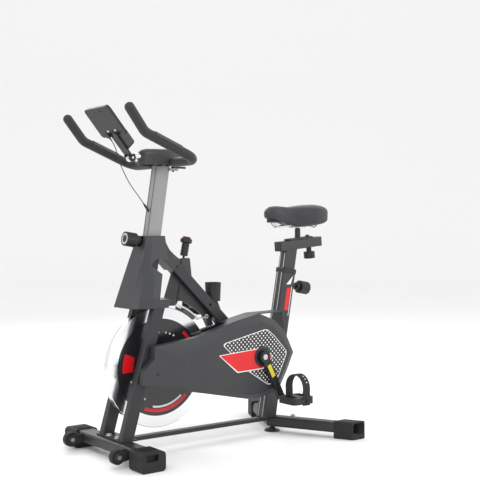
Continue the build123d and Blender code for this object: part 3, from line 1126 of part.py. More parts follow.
block_h = RAIL_H - 2 * RAIL_WALL - 2 * SLIDE_GAP
block_w = RAIL_W - 2 * RAIL_WALL - 2 * SLIDE_GAP
carrier_top = RAIL_H / 2 + SLIDE_GAP
PLATE_H = 6.0
stem_at = 101.0
with BuildPart() as saddle_carrier:
    with BuildSketch(rail_top_plane(-block_h / 2)) as block:
        with Locations((top_mid, 0)):
            RectangleRounded(neck_rear - neck_front, block_w, 2)
    extrude(block.sketch, amount=block_h)
    with BuildSketch(rail_top_plane(0)) as neck:
        with Locations((top_mid, 0)):
            RectangleRounded(neck_rear - neck_front, slot_w, 2)
    extrude(neck.sketch, amount=carrier_top + 1)
    with BuildSketch(rail_top_plane(carrier_top)) as plate:
        with Locations(((46 + 166) / 2, 0)):
            RectangleRounded(120, RAIL_W, 4)
    extrude(plate.sketch, amount=PLATE_H)
    with BuildSketch(rail_top_plane(carrier_top + PLATE_H)) as bolt_head:
        with Locations((screw_at - 3, 0)):
            RegularPolygon(8, 6)
    extrude(bolt_head.sketch, amount=6)
    stem_foot = rail_point(stem_at, carrier_top + PLATE_H - 1)
    with BuildSketch(Plane.XY.offset(stem_foot.Z)) as stem:
        with Locations((stem_foot.X, 0)):
            Circle(11)
    extrude(stem.sketch, amount=STEM_TOP - stem_foot.Z)
    with BuildSketch(Plane.XY.offset(STEM_TOP - 2)) as head_neck:
        with Locations((stem_foot.X, 0)):
            Rectangle(10, 14)
    extrude(head_neck.sketch, amount=SADDLE_AXIS_Z - STEM_TOP + 2)
    with BuildSketch(rail_top_plane(-block_h / 2)) as screw_bore:
        with Locations((screw_at, 0)):
            Circle(5 + RUN_GAP)
    extrude(screw_bore.sketch, amount=block_h - 4, mode=Mode.SUBTRACT)
    disc(side_plane(SADDLE_PIN_HALF, stem_foot.X, SADDLE_AXIS_Z), SADDLE_PIN_R, 2 * SADDLE_PIN_HALF)
write(saddle_carrier, "saddle_carrier")

slider_axis = Plane(origin=rail_point(screw_at), x_dir=(0, 1, 0), z_dir=-rail_up)
with BuildPart() as slider_knob:
    clamp_knob(slider_axis, 4 - block_h / 2 + 5, 36, 62, 22, 10, 5.0, 7)
write(slider_knob, "slider_knob")

# ---------------------------------------------------------------- saddle
nose_x, tail_x = SADDLE_NOSE_X, SADDLE_NOSE_X + SADDLE_L
clamp_x = stem_foot.X


def saddle_plan(z, height, inset=0.0, mode=Mode.ADD):
    """The saddle's pear-shaped plan, extruded up from a height."""
    rear, nose = SADDLE_REAR_W / 2 - inset, SADDLE_NOSE_W / 2 - inset
    front, back = nose_x + inset, tail_x - inset
    half = [
        (front + 7, 0.72 * nose), (nose_x + 28, nose), (nose_x + 80, nose + 3), (nose_x + 135, nose + 20),
        (nose_x + 185, rear - 12), (nose_x + 225, rear), (back - 22, rear - 18), (back - 3, 40),
    ]
    far_half = [(x, -y) for x, y in reversed(half)]
    with BuildSketch(Plane.XY.offset(z)) as plan:
        with BuildLine():
            Spline((front, 0), *half, (back, 0), *far_half, periodic=True)
        make_face()
    extrude(plan.sketch, amount=height, mode=mode)


skirt = [(nose_x - 5, 826), (nose_x + 50, 800), (nose_x + 120, 786), (nose_x + 210, 790), (tail_x + 5, 806)]
crown = [(nose_x - 5, 842), (nose_x + 22, 864), (nose_x + 110, 856), (nose_x + 200, 868), (nose_x + 250, 870),
         (tail_x + 5, 850)]
with BuildPart() as saddle_cushion:
    saddle_plan(760, 130)
    with BuildSketch(side_plane(150)) as saddle_profile:
        with BuildLine():
            Spline(*skirt)
            Line(skirt[-1], crown[-1])
            Spline(*crown)
            Line(crown[0], skirt[0])
        make_face()
    extrude(saddle_profile.sketch, amount=300, mode=Mode.INTERSECT)
    # hollow between the skirts, for the base
    saddle_plan(760, BASE_Z + BASE_T - 760, SKIRT_T, mode=Mode.SUBTRACT)
write(saddle_cushion, "saddle_cushion")

with BuildPart() as saddle_base:
    saddle_plan(BASE_Z, 26, SKIRT_T)
    add(saddle_cushion.part, mode=Mode.SUBTRACT)
write(saddle_base, "saddle_base")

wire_z = SADDLE_AXIS_Z + 4
with BuildPart() as saddle_rails:
    for sign in (-1, 1):
        wire = [
            (nose_x + 34, sign * 9, BASE_Z + 3), (nose_x + 60, sign * 13, BASE_Z - 17),
            (clamp_x - 26, sign * RAIL_HALF, wire_z), (clamp_x + 26, sign * RAIL_HALF, wire_z),
            (tail_x - 58, sign * 38, BASE_Z - 18), (tail_x - 38, sign * 42, BASE_Z + 3),
        ]
        with BuildLine() as wire_path:
            FilletPolyline(*wire, radius=9)
        with BuildSketch(Plane(origin=wire[0], z_dir=Vector(*wire[1]) - Vector(*wire[0]))) as wire_section:
            Circle(RAIL_WIRE_R)
        sweep(wire_section.sketch, path=wire_path.line)
    with BuildSketch(Plane.XY.offset(BASE_Z)) as above_base:
        with Locations((clamp_x, 0)):
            Rectangle(400, 200)
    extrude(above_base.sketch, amount=20, mode=Mode.SUBTRACT)
write(saddle_rails, "saddle_rails")

pocket_half = SADDLE_PIN_HALF + FREE_GAP
with BuildPart() as saddle_clamp:
    # block round the stem's cross pin, with the rails held at its two sides
    with BuildSketch(Plane.XY.offset(SADDLE_AXIS_Z - SADDLE_PIN_R - 0.5)) as clamp_section:
        with Locations((clamp_x, 0)):
            RectangleRounded(44, 2 * RAIL_HALF + 12, 6)
    extrude(clamp_section.sketch, amount=SADDLE_PIN_R + BASE_Z - SADDLE_AXIS_Z)
    disc(side_plane(pocket_half, clamp_x, SADDLE_AXIS_Z), SADDLE_PIN_R + RUN_GAP, 2 * pocket_half, mode=Mode.SUBTRACT)
    with BuildSketch(Plane.XY.offset(SADDLE_AXIS_Z - SADDLE_PIN_R - 1)) as neck_room:
        with Locations((clamp_x, 0)):
            Rectangle(15, 15.2)
    extrude(neck_room.sketch, amount=SADDLE_PIN_R, mode=Mode.SUBTRACT)
    add(saddle_rails.part, mode=Mode.SUBTRACT)
write(saddle_clamp, "saddle_clamp")
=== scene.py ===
"""Looks of an indoor cycling bike, laid out as a Blender add-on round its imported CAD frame.

Metres, +Z up.  The rider faces -X and the belt guard is on the -Y side.
"""
import json
import math

import bpy
import numpy as np
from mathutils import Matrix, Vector


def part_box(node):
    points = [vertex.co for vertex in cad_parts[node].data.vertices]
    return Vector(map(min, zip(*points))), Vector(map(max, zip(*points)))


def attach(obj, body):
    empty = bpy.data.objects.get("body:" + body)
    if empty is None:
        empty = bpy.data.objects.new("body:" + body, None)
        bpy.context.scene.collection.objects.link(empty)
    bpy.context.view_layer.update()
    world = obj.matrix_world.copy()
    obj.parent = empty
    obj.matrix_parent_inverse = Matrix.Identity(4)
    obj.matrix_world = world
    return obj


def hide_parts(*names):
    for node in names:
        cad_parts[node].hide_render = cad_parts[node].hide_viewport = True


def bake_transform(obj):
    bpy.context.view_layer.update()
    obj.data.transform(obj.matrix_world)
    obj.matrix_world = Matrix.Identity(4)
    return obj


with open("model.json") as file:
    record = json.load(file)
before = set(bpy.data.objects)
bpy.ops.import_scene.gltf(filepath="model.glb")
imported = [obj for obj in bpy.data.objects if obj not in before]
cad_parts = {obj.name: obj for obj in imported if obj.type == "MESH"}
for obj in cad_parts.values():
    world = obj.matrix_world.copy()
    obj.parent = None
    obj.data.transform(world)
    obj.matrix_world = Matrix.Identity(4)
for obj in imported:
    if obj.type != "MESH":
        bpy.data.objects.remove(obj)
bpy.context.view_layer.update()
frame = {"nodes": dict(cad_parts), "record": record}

bl_info = {
    "name": "Indoor cycling bike",
    "version": (1, 0, 0),
    "blender": (4, 5, 0),
    "location": "3D View > Sidebar > Bike",
    "description": "Dresses the bike's CAD frame with its padding, trim, decals, lead and materials",
    "category": "Object",
}

MM = 0.001
FULL_TURN = 2 * math.pi
JOINTS = {joint["name"]: joint for joint in frame["record"]["behaviour"]["joints"]}
CRANK = Vector(JOINTS["crank_spin"]["pos_m"])
FLYWHEEL = Vector(JOINTS["flywheel_spin"]["pos_m"])
TILT = Vector(JOINTS["holder_tilt"]["pos_m"])
ROD = Vector(JOINTS["knob_turn"]["pos_m"])
ROD_UP = Vector(JOINTS["knob_turn"]["axis"])
SEAT_UP = Vector(JOINTS["seat_post_slide"]["axis"])
RAIL_ALONG = Vector(JOINTS["saddle_slide"]["axis"])
HOLDER_OUT = -Vector(JOINTS["button_push"]["axis"])
HOLDER_UP = Vector((-HOLDER_OUT.z, 0, HOLDER_OUT.x))
ACROSS = Vector((0, 1, 0))
# faces that meet at less than this look like one curved surface
SMOOTH_ANGLE = math.radians(40)
# the camera's heading from +Y, its dip, and its lens in mm on a sensor 36 mm wide
CAMERA_PLACE = (-2.0203, -2.8265, 0.7795)
YAW, PITCH, LENS = math.radians(37.18), math.radians(0.73), 71.17


# ------------------------------------------------------------------ settings
class BikeSizes(bpy.types.PropertyGroup):
    """Sizes of the trim that a user would change."""

    decal: bpy.props.FloatProperty(
        name="Decal thickness", description="How far a printed film stands proud", default=0.35 * MM,
        unit="LENGTH")
    dots: bpy.props.FloatProperty(
        name="Dot spacing", description="Spacing of the printed dots on the guard", default=17 * MM,
        unit="LENGTH")
    lead: bpy.props.FloatProperty(
        name="Lead diameter", description="Diameter of the pulse sensors' lead", default=3 * MM, unit="LENGTH")
    swell: bpy.props.FloatProperty(
        name="Saddle swell", description="How far the padding may swell", default=4 * MM, unit="LENGTH")


class BikeColours(bpy.types.PropertyGroup):
    """Colours as sRGB hex values."""

    frame: bpy.props.StringProperty(name="Frame", description="Powder coat of the frame", default="#242528")
    cover: bpy.props.StringProperty(name="Covers", description="Moulded covers", default="#323336")
    accent: bpy.props.StringProperty(name="Accent", description="Red trim and decals", default="#d9161c")
    post: bpy.props.StringProperty(name="Post", description="Handlebar post's paint", default="#8c8d8c")
    saddle: bpy.props.StringProperty(name="Saddle", description="Saddle's vinyl", default="#232427")


# ------------------------------------------------------------------ colour and nodes
def linear(hexcode, alpha=1.0):
    """Linear RGBA of an sRGB hex colour."""
    values = np.array([int(hexcode[i:i + 2], 16) for i in (1, 3, 5)]) / 255
    low = values <= 0.04045
    return (*np.where(low, values / 12.92, ((values + 0.055) / 1.055) ** 2.4), alpha)


def add_node(tree, kind, inputs=None, give=None, **settings):
    """Add one node with its settings; an input is a value or another node's output.

    Returns the node, or the output that give names."""
    made = tree.nodes.new(kind)
    for name, value in settings.items():
        setattr(made, name, value)
    for name, value in (inputs or {}).items():
        if isinstance(value, bpy.types.NodeSocket):
            tree.links.new(value, made.inputs[name])
        else:
            made.inputs[name].default_value = value
    return made if give is None else made.outputs[give]


def new_material(name, roughness, metallic=0.0, ior=1.5, **coat):
    """An empty material with a Principled shader; returns it, its tree, its shader and Object coordinates."""
    material = bpy.data.materials.new(name)
    material.use_nodes = True
    tree = material.node_tree
    shader = tree.nodes["Principled BSDF"]
    shader.inputs["Roughness"].default_value = roughness
    shader.inputs["Metallic"].default_value = metallic
    shader.inputs["IOR"].default_value = ior
    for socket, value in coat.items():
        shader.inputs[socket.replace("_", " ")].default_value = value
    return material, tree, shader, add_node(tree, "ShaderNodeTexCoord", give="Object")


def surface(name, colour, shade, roughness, grain_mm, depth_mm, patch_mm=60.0, metallic=0.0, spread=0.1,
            **coat):
    """A moulded or painted surface: colour that drifts over patches, roughness that varies, and a fine grain.

    The grain is noise at one over its size, and its height is the bump's distance. A grain finer than about
    a millimetre is drawn that coarse, because it would not show otherwise."""
    material, tree, shader, at = new_material(name, roughness, metallic, **coat)
    drift = add_node(tree, "ShaderNodeTexNoise", {"Vector": at, "Scale": 1000 / patch_mm, "Detail": 3.0}, "Fac")
    grain = add_node(tree, "ShaderNodeTexNoise", {"Vector": at, "Scale": 1000 / grain_mm, "Detail": 2.0}, "Fac")
    paint = add_node(tree, "ShaderNodeMix", {0: drift, 6: linear(colour), 7: linear(shade)}, 2,
                     data_type="RGBA")
    tree.links.new(paint, shader.inputs["Base Color"])
    rough = add_node(tree, "ShaderNodeMapRange", {
        "Value": grain, "From Min": 0.3, "From Max": 0.7,
        "To Min": roughness - spread, "To Max": roughness + spread}, "Result")
    tree.links.new(rough, shader.inputs["Roughness"])
    bump = add_node(tree, "ShaderNodeBump", {"Height": grain, "Distance": depth_mm * MM, "Strength": 0.6},
                    "Normal")
    tree.links.new(bump, shader.inputs["Normal"])
    return material


def paint_with_painted_edge_light(name, colour, shade, line, offset, width, roughness, top=2.0):
    """Satin paint on a box tube with lines along its front and rear faces, this far from the middle, and no
    higher than its top. The paint gives one long soft highlight. The lines are painted light where each face
    turns: painted shade when their colour is dark, and a painted highlight when it is pale. Each line sits over
    a shallow groove."""
    material, tree, shader, at = new_material(name, roughness, Coat_Weight=0.15, Coat_Roughness=0.3)
    drift = add_node(tree, "ShaderNodeTexNoise", {"Vector": at, "Scale": 9.0, "Detail": 3.0}, "Fac")
    paint = add_node(tree, "ShaderNodeMix", {0: drift, 6: linear(colour), 7: linear(shade)}, 2,
                     data_type="RGBA")
    split = add_node(tree, "ShaderNodeSeparateXYZ", {0: at})
    # each step: its name, what it does, and its two values, which may be earlier steps
    steps = {"y": split.outputs["Y"], "z": split.outputs["Z"]}
    for made, operation, first, second in (
            ("side", "ABSOLUTE", "y", 0.0), ("past", "SUBTRACT", "side", offset),
            ("away", "ABSOLUTE", "past", 0.0), ("near", "LESS_THAN", "away", width),
            ("below", "LESS_THAN", "z", top), ("on_painted_edge", "MULTIPLY", "near", "below")):
        steps[made] = add_node(tree, "ShaderNodeMath", {0: steps[first], 1: steps.get(second, second)}, 0,
                               operation=operation)
    # the lines' colour is painted light: painted shade on the pale post, and a painted highlight on the dark
    # seat tube
    edge_light_painted = add_node(tree, "ShaderNodeMix", {0: steps["on_painted_edge"], 6: paint, 7: linear(line)}, 2,
                       data_type="RGBA")
    tree.links.new(edge_light_painted, shader.inputs["Base Color"])
    peel = add_node(tree, "ShaderNodeTexNoise", {"Vector": at, "Scale": 600.0}, "Fac")
    height = add_node(tree, "ShaderNodeMath", {0: steps["on_painted_edge"], 1: -0.8, 2: peel}, 0,
                      operation="MULTIPLY_ADD")
    bump = add_node(tree, "ShaderNodeBump", {"Height": height, "Distance": 0.08 * MM, "Strength": 0.7},
                    "Normal")
    tree.links.new(bump, shader.inputs["Normal"])
    return material


def turned_steel(name, colour, roughness, ring_mm, axis_point):
    """Metal off a lathe: rings about the lathe's axis, which draw the light out into fans. The tool's rings are
    drawn coarser than they are, so that they show."""
    material, tree, shader, at = new_material(name, roughness, 1.0)
    shift = add_node(tree, "ShaderNodeVectorMath", {0: at, 1: axis_point}, 0, operation="SUBTRACT")
    flat = add_node(tree, "ShaderNodeVectorMath", {0: shift, 1: (1.0, 0.0, 1.0)}, 0, operation="MULTIPLY")
    radius = add_node(tree, "ShaderNodeVectorMath", {0: flat}, "Value", operation="LENGTH")
    turns = add_node(tree, "ShaderNodeMath", {0: radius, 1: 1000 / ring_mm}, 0, operation="MULTIPLY")
    rings = add_node(tree, "ShaderNodeTexNoise", {"W": turns, "Scale": 1.0, "Detail": 3.0}, "Fac",
                     noise_dimensions="1D")
    metal = add_node(tree, "ShaderNodeMix", {0: rings, 6: linear(colour), 7: linear("#ffffff")}, 2,
                     data_type="RGBA")
    tree.links.new(metal, shader.inputs["Base Color"])
    rough = add_node(tree, "ShaderNodeMapRange", {"Value": rings, "To Min": roughness * 0.5,
                                                  "To Max": roughness * 1.5}, "Result")
    tree.links.new(rough, shader.inputs["Roughness"])
    bump = add_node(tree, "ShaderNodeBump", {"Height": rings, "Distance": 0.02 * MM}, "Normal")
    tree.links.new(bump, shader.inputs["Normal"])
    return material


def bright_metal(name, colour, roughness, streak_mm, pale="#e4e5e6"):
    """Plated or brushed metal: fine streaks along X that break up its mirror."""
    material, tree, shader, at = new_material(name, roughness, 1.0)
    stretched = add_node(tree, "ShaderNodeMapping", {"Vector": at, "Scale": (0.04, 1.0, 1.0)}, 0)
    streaks = add_node(tree, "ShaderNodeTexNoise", {"Vector": stretched, "Scale": 1000 / streak_mm,
                                                    "Detail": 2.0}, "Fac")
    metal = add_node(tree, "ShaderNodeMix", {0: streaks, 6: linear(colour), 7: linear(pale)}, 2,
                     data_type="RGBA")
    tree.links.new(metal, shader.inputs["Base Color"])
    rough = add_node(tree, "ShaderNodeMapRange", {"Value": streaks, "To Min": roughness * 0.6,
                                                  "To Max": roughness * 1.5}, "Result")
    tree.links.new(rough, shader.inputs["Roughness"])
    return material


def grained_vinyl(colours):
    """Saddle vinyl: calendered PVC with cells of about 2 mm. The cells catch a soft sheen and the creases
    between them stay dull, so the saddle looks like leather and not like plastic."""
    material, tree, shader, at = new_material("grained_vinyl", 0.5, Sheen_Weight=0.15, Sheen_Roughness=0.5)
    cells = add_node(tree, "ShaderNodeTexVoronoi", {"Vector": at, "Scale": 1000 / 2.0}, "Distance",
                     feature="DISTANCE_TO_EDGE")
    drift = add_node(tree, "ShaderNodeTexNoise", {"Vector": at, "Scale": 14.0, "Detail": 4.0}, "Fac")
    skin = add_node(tree, "ShaderNodeMix", {0: drift, 6: linear(colours.saddle), 7: linear("#2c2d30")}, 2,
                    data_type="RGBA")
    tree.links.new(skin, shader.inputs["Base Color"])
    edge = add_node(tree, "ShaderNodeMapRange", {"Value": cells, "From Max": 0.25}, 0)
    rough = add_node(tree, "ShaderNodeMapRange", {"Value": edge, "To Min": 0.62, "To Max": 0.42}, "Result")
    tree.links.new(rough, shader.inputs["Roughness"])
    bump = add_node(tree, "ShaderNodeBump", {"Height": edge, "Distance": 0.12 * MM, "Strength": 0.5}, "Normal")
    tree.links.new(bump, shader.inputs["Normal"])
    return material


def dotted_film(sizes):
    """Printed vinyl film under a clear coat: rows of white dots on black, every second row half a step along.
    The coat gives a sharp highlight over flat colour, and the dots make the panel look perforated."""
    material, tree, shader, at = new_material("dotted_film", 0.3, Coat_Weight=0.4, Coat_Roughness=0.15)
    split = add_node(tree, "ShaderNodeSeparateXYZ", {0: at})
    # each step: its name, what it does, and its two values, which may be earlier steps
    steps = {"x": split.outputs["X"], "z": split.outputs["Z"]}
    for made, operation, first, second in (
            ("row", "DIVIDE", "z", sizes.dots * 0.5), ("row_number", "FLOOR", "row", 0.0),
            ("odd", "MODULO", "row_number", 2.0), ("column", "DIVIDE", "x", sizes.dots),
            ("half_step", "MULTIPLY", "odd", 0.5), ("along", "ADD", "column", "half_step"),
            ("in_column", "FRACT", "along", 0.0), ("from_x", "SUBTRACT", "in_column", 0.5),
            ("in_row", "FRACT", "row", 0.0), ("off_row", "SUBTRACT", "in_row", 0.5),
            ("from_z", "MULTIPLY", "off_row", 0.5), ("x_squared", "POWER", "from_x", 2.0),
            ("z_squared", "POWER", "from_z", 2.0), ("sum", "ADD", "x_squared", "z_squared"),
            ("away", "SQRT", "sum", 0.0), ("dot", "LESS_THAN", "away", 0.17)):
        steps[made] = add_node(tree, "ShaderNodeMath", {0: steps[first], 1: steps.get(second, second)}, 0,
                               operation=operation)
    print_colour = add_node(tree, "ShaderNodeMix", {0: steps["dot"], 6: linear("#101012"),
                                                    7: linear("#e9e9e6")}, 2, data_type="RGBA")
    tree.links.new(print_colour, shader.inputs["Base Color"])
    return material


def make_materials():
    """Every finish by name, and which finish each CAD node takes."""
    settings = bpy.context.scene
    sizes, colours = settings.bike_sizes, settings.bike_colours
    made = {
        # baked powder coat: an orange peel of about 1.5 mm breaks its satin gloss into a soft shimmer
        "frame": surface("powder_coat_charcoal", colours.frame, "#1f2022", 0.42, 1.6, 0.05, 120, spread=0.06),
        # silver enamel: a pale tube with two dark lines of painted shade down its front and its rear face,
        # where each face turns
        "post": paint_with_painted_edge_light("post_paint_painted_edge_shade", colours.post, "#7f8080", "#2a2b2d", 12.5 * MM, 2.2 * MM, 0.34),
        # the frame's charcoal with pale lines of painted highlight where each face turns, which stop 0.685 m up
        "seat_tube": paint_with_painted_edge_light("tube_paint_painted_edge_highlight", colours.frame, "#1f2022", "#c4c5c6", 12 * MM, 1.6 * MM,
                                 0.36, 0.685),
        # ABS from a spark-eroded tool: a fine even grain that scatters the light
        "cover": surface("textured_abs_charcoal", colours.cover, "#2b2c2f", 0.46, 0.9, 0.08, 90),
        # moulded nylon: near black, with a dull and slightly mottled gloss
        "black": surface("textured_nylon_black", "#131315", "#1a1a1c", 0.48, 0.8, 0.08, 50),
        # moulded rubber: matt, with next to no highlight
        "rubber": surface("moulded_rubber_black", "#121213", "#1a1a1a", 0.72, 1.4, 0.12, 30),
        # grip foam under a dipped rubber skin: pebbled, with a faint bloom where it curves away
        "grip": surface("dipped_grip_rubber", "#18181a", "#202022", 0.6, 1.1, 0.18, 35, Sheen_Weight=0.1),
        # polished ABS: smooth and black, with clear-edged reflections
        "disc": surface("gloss_abs_black", "#1c1c1f", "#26262a", 0.22, 2.5, 0.02, 80, spread=0.05,
                        Coat_Weight=0.3),
        # forged steel under thin black enamel: tight highlights with a hint of metal
        "crank": surface("satin_black_forging", "#1f2022", "#2a2b2e", 0.36, 1.8, 0.06, 60, metallic=0.4,
                         spread=0.08),
        # belt rubber: matt all over
        "belt": surface("belt_rubber", "#1a1a1a", "#222222", 0.75, 1.0, 0.1),
        # pressed wool: a fuzzy grey-brown with no gloss
        "felt": surface("pressed_wool_felt", "#5c5850", "#4a463f", 0.9, 0.7, 0.4, 12, spread=0.05,
                        Sheen_Weight=0.4),
        # soft PVC: one thin line of light along the lead
        "lead": surface("soft_pvc_jacket", "#19191b", "#212124", 0.45, 1.0, 0.03),
        # glossy red ABS: strong colour under a clear highlight
        "red": surface("gloss_red_abs", colours.accent, "#c01016", 0.28, 2.0, 0.02, 40, spread=0.05,
                       Coat_Weight=0.4, Coat_Roughness=0.1),
        # cast vinyl films: flat, even colour with a soft gloss
        "red_film": surface("red_vinyl_film", colours.accent, "#cc1218", 0.35, 3.0, 0.01, 90, spread=0.05),
        "white_film": surface("white_vinyl_film", "#e8e8e6", "#dddddb", 0.38, 3.0, 0.01, 90, spread=0.05),
        "yellow_film": surface("yellow_vinyl_film", "#d8c92a", "#c9ba22", 0.4, 3.0, 0.01, 40, spread=0.05),
        # chrome over a turned rim: a bright ring whose highlights fan out from the axle
        "chrome": turned_steel("polished_chrome_rim", "#cfd2d6", 0.16, 1.2, tuple(FLYWHEEL)),
        # bare turned steel: grey, with broken streaks of light
        "turned": bright_metal("turned_steel", "#9a9ca0", 0.34, 0.5),
        # zinc plate: bright but a little clouded
        "zinc": bright_metal("bright_zinc_plate", "#b9bbb8", 0.3, 0.7),
        # chromed tube: close to a mirror, with faint streaks
        "boom": bright_metal("chromed_tube", "#c9ccd0", 0.12, 0.9),
        # darkened stainless, brushed: a deep grey with a satin sheen
        "sensor": bright_metal("brushed_dark_steel", "#4a4b4d", 0.38, 0.4, "#5e5f61"),
        "vinyl": grained_vinyl(colours),
        "dots": dotted_film(sizes),
        # tinted acrylic: almost black, with mirror-like reflections
        "screen": surface("tinted_acrylic", "#0b0c0e", "#111316", 0.1, 6.0, 0.005, 40, spread=0.02,
                          Coat_Weight=0.6),
        # weld bead under the frame's coat: its ripples each catch a point of light
        "weld": surface("painted_weld_bead", colours.frame, "#2a2b2d", 0.4, 1.2, 0.15, 30, spread=0.06),
    }
    by_slot = {
        "frame_paint": "frame", "post_paint": "post", "cover_plastic": "cover", "black_plastic": "black",
        "black_rubber": "rubber", "grip_foam": "grip", "chrome_ring": "chrome", "disc_plastic": "disc",
        "machined_steel": "turned", "zinc_steel": "zinc", "crank_steel": "crank", "belt_rubber": "belt",
        "cage_plastic": "black", "sensor_plate": "sensor", "red_plastic": "red", "brake_felt": "felt",
        "lead_jacket": "lead", "saddle_vinyl": "vinyl",
    }
    for part in frame["record"]["subparts"]:
        finish = {"console_boom": "boom", "seat_tube": "seat_tube", "seat_post": "seat_tube"}.get(
            part["node"], by_slot[part["material_slot"]])
        for holder in frame["nodes"][part["node"]].material_slots:
            holder.material = made[finish]
    return made


# filled by main, once the settings are on the scene
finishes = {}


# ------------------------------------------------------------------ mesh helpers
def link_mesh(name, points, faces, body, finish, slot, smooth=True):
    """Put points and faces into a mesh object that rides on a body, with its normals outward."""
    mesh = bpy.data.meshes.new(name)
    mesh.from_pydata(np.asarray(points, float).reshape(-1, 3).tolist(), [], [tuple(face) for face in faces])
    mesh.validate()
    piece = bpy.data.objects.new(name, mesh)
    bpy.context.scene.collection.objects.link(piece)
    piece.data.materials.append(finishes[finish])
    bpy.context.view_layer.objects.active = piece
    for other in bpy.context.selected_objects:
        other.select_set(False)
    piece.select_set(True)
    bpy.ops.object.mode_set(mode="EDIT")
    bpy.ops.mesh.select_all(action="SELECT")
    bpy.ops.mesh.normals_make_consistent(inside=False)
    bpy.ops.object.mode_set(mode="OBJECT")
    if smooth:
        bpy.ops.object.shade_smooth_by_angle(angle=SMOOTH_ANGLE)
    if body:
        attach(piece, body)
    return piece


def grid_faces(rows, columns, wrap_rows, wrap_columns):
    """Quads of a grid of points, joined at its ends where it wraps."""
    r = np.arange(rows if wrap_rows else rows - 1)
    c = np.arange(columns if wrap_columns else columns - 1)
    r, c = np.meshgrid(r, c, indexing="ij")
    r2, c2 = (r + 1) % rows, (c + 1) % columns
    corners = np.stack([r * columns + c, r * columns + c2, r2 * columns + c2, r2 * columns + c], -1)
    return corners.reshape(-1, 4).tolist()


def across(axis):
    """Two unit vectors square to an axis."""
    axis = Vector(axis).normalized()
    side = axis.cross(Vector((0, 0, 1)) if abs(axis.z) < 0.9 else Vector((1, 0, 0))).normalized()
    return np.array(side), np.array(axis.cross(side))


def lathe(profile, origin, axis, turns=56):
    """Points and faces of a turned piece: each (radius, height) in mm goes round the axis; both poles close."""
    u, v = across(axis)
    angles = np.linspace(0, FULL_TURN, turns, endpoint=False)[None, :, None]
    radius = np.array([max(r, 0.01) for r, _ in profile])[:, None, None] * MM
    height = np.array([h for _, h in profile])[:, None, None] * MM
    points = np.array(origin) + height * np.array(Vector(axis).normalized())
    points = points + radius * (np.cos(angles) * u + np.sin(angles) * v)
    rows = len(profile)
    faces = grid_faces(rows, turns, False, True)
    faces += [list(range(turns)), list(range((rows - 1) * turns, rows * turns))]
    return points, faces


def joined(shapes):
    """Several (points, faces) as one."""
    points, faces, start = [], [], 0
    for some, quads in shapes:
        some = np.asarray(some, float).reshape(-1, 3)
        points.append(some)
        faces += [[i + start for i in face] for face in quads]
        start += len(some)
    return np.concatenate(points), faces


def rounded(corners, radius, steps=6):
    """An outline with each corner eased by a curve of about this radius: a quadratic between the corner's two
    cuts, pulled towards the corner."""
    corners = np.asarray(corners, float)
    before, after = np.roll(corners, 1, 0), np.roll(corners, -1, 0)
    reach_in = np.linalg.norm(before - corners, axis=1, keepdims=True)
    reach_out = np.linalg.norm(after - corners, axis=1, keepdims=True)
    start = corners + (before - corners) * np.minimum(radius / reach_in, 0.45)
    end = corners + (after - corners) * np.minimum(radius / reach_out, 0.45)
    t = np.linspace(0, 1, steps)[None, :, None]
    eased = (1 - t) ** 2 * start[:, None] + 2 * t * (1 - t) * corners[:, None] + t ** 2 * end[:, None]
    return eased.reshape(-1, corners.shape[1])


def slab(outline, origin, right, up, low, high):
    """A flat plate: an outline in mm on a plane through origin, from a low to a high distance off it."""
    right, up = Vector(right).normalized(), Vector(up).normalized()
    normal = np.array(right.cross(up))
    flat = np.array(origin) + (outline[:, :1] * np.array(right) + outline[:, 1:] * np.array(up)) * MM
    count = len(outline)
    points = np.stack([flat + normal * low * MM, flat + normal * high * MM])
    return points, grid_faces(2, count, False, True) + [list(range(count)), list(range(count, 2 * count))]


def side_slab(outline, centre, y, thickness):
    """A film on a side face: an outline in mm about a centre in side view, thick along Y from a Y in metres."""
    origin = Vector((centre.x, y, centre.z))
    return slab(np.asarray(outline, float), origin, (1, 0, 0), (0, 0, 1), 0, -thickness / MM)


def arc_band(inner, outer, start, end, steps=40):
    """Outline in mm of a band between two radii and two angles in degrees."""
    angles = np.radians(np.linspace(start, end, steps))
    ring = np.stack([np.cos(angles), np.sin(angles)], 1)
    return np.concatenate([ring * outer, ring[::-1] * inner])


def tube_along(path, radius, sides=16, closed=False):
    """A round tube of varying radius carried along a path: rings square to the path's own direction."""
    path = np.asarray(path, float)
    if closed:
        along = np.roll(path, -1, 0) - np.roll(path, 1, 0)
    else:
        along = np.gradient(path, axis=0)
    along /= np.linalg.norm(along, axis=1, keepdims=True)
    side = np.cross(along, np.array(ACROSS))
    weak = np.linalg.norm(side, axis=1) < 0.2
    side[weak] = np.cross(along[weak], (0.0, 0.0, 1.0))
    side /= np.linalg.norm(side, axis=1, keepdims=True)
    up = np.cross(side, along)
    angles = np.linspace(0, FULL_TURN, sides, endpoint=False)[None, :, None]
    radius = np.broadcast_to(radius, len(path))[:, None, None]
    points = path[:, None] + radius * (np.cos(angles) * side[:, None] + np.sin(angles) * up[:, None])
    faces = grid_faces(len(path), sides, closed, True)
    if not closed:
        faces += [list(range(sides)), list(range((len(path) - 1) * sides, len(path) * sides))]
    return points, faces


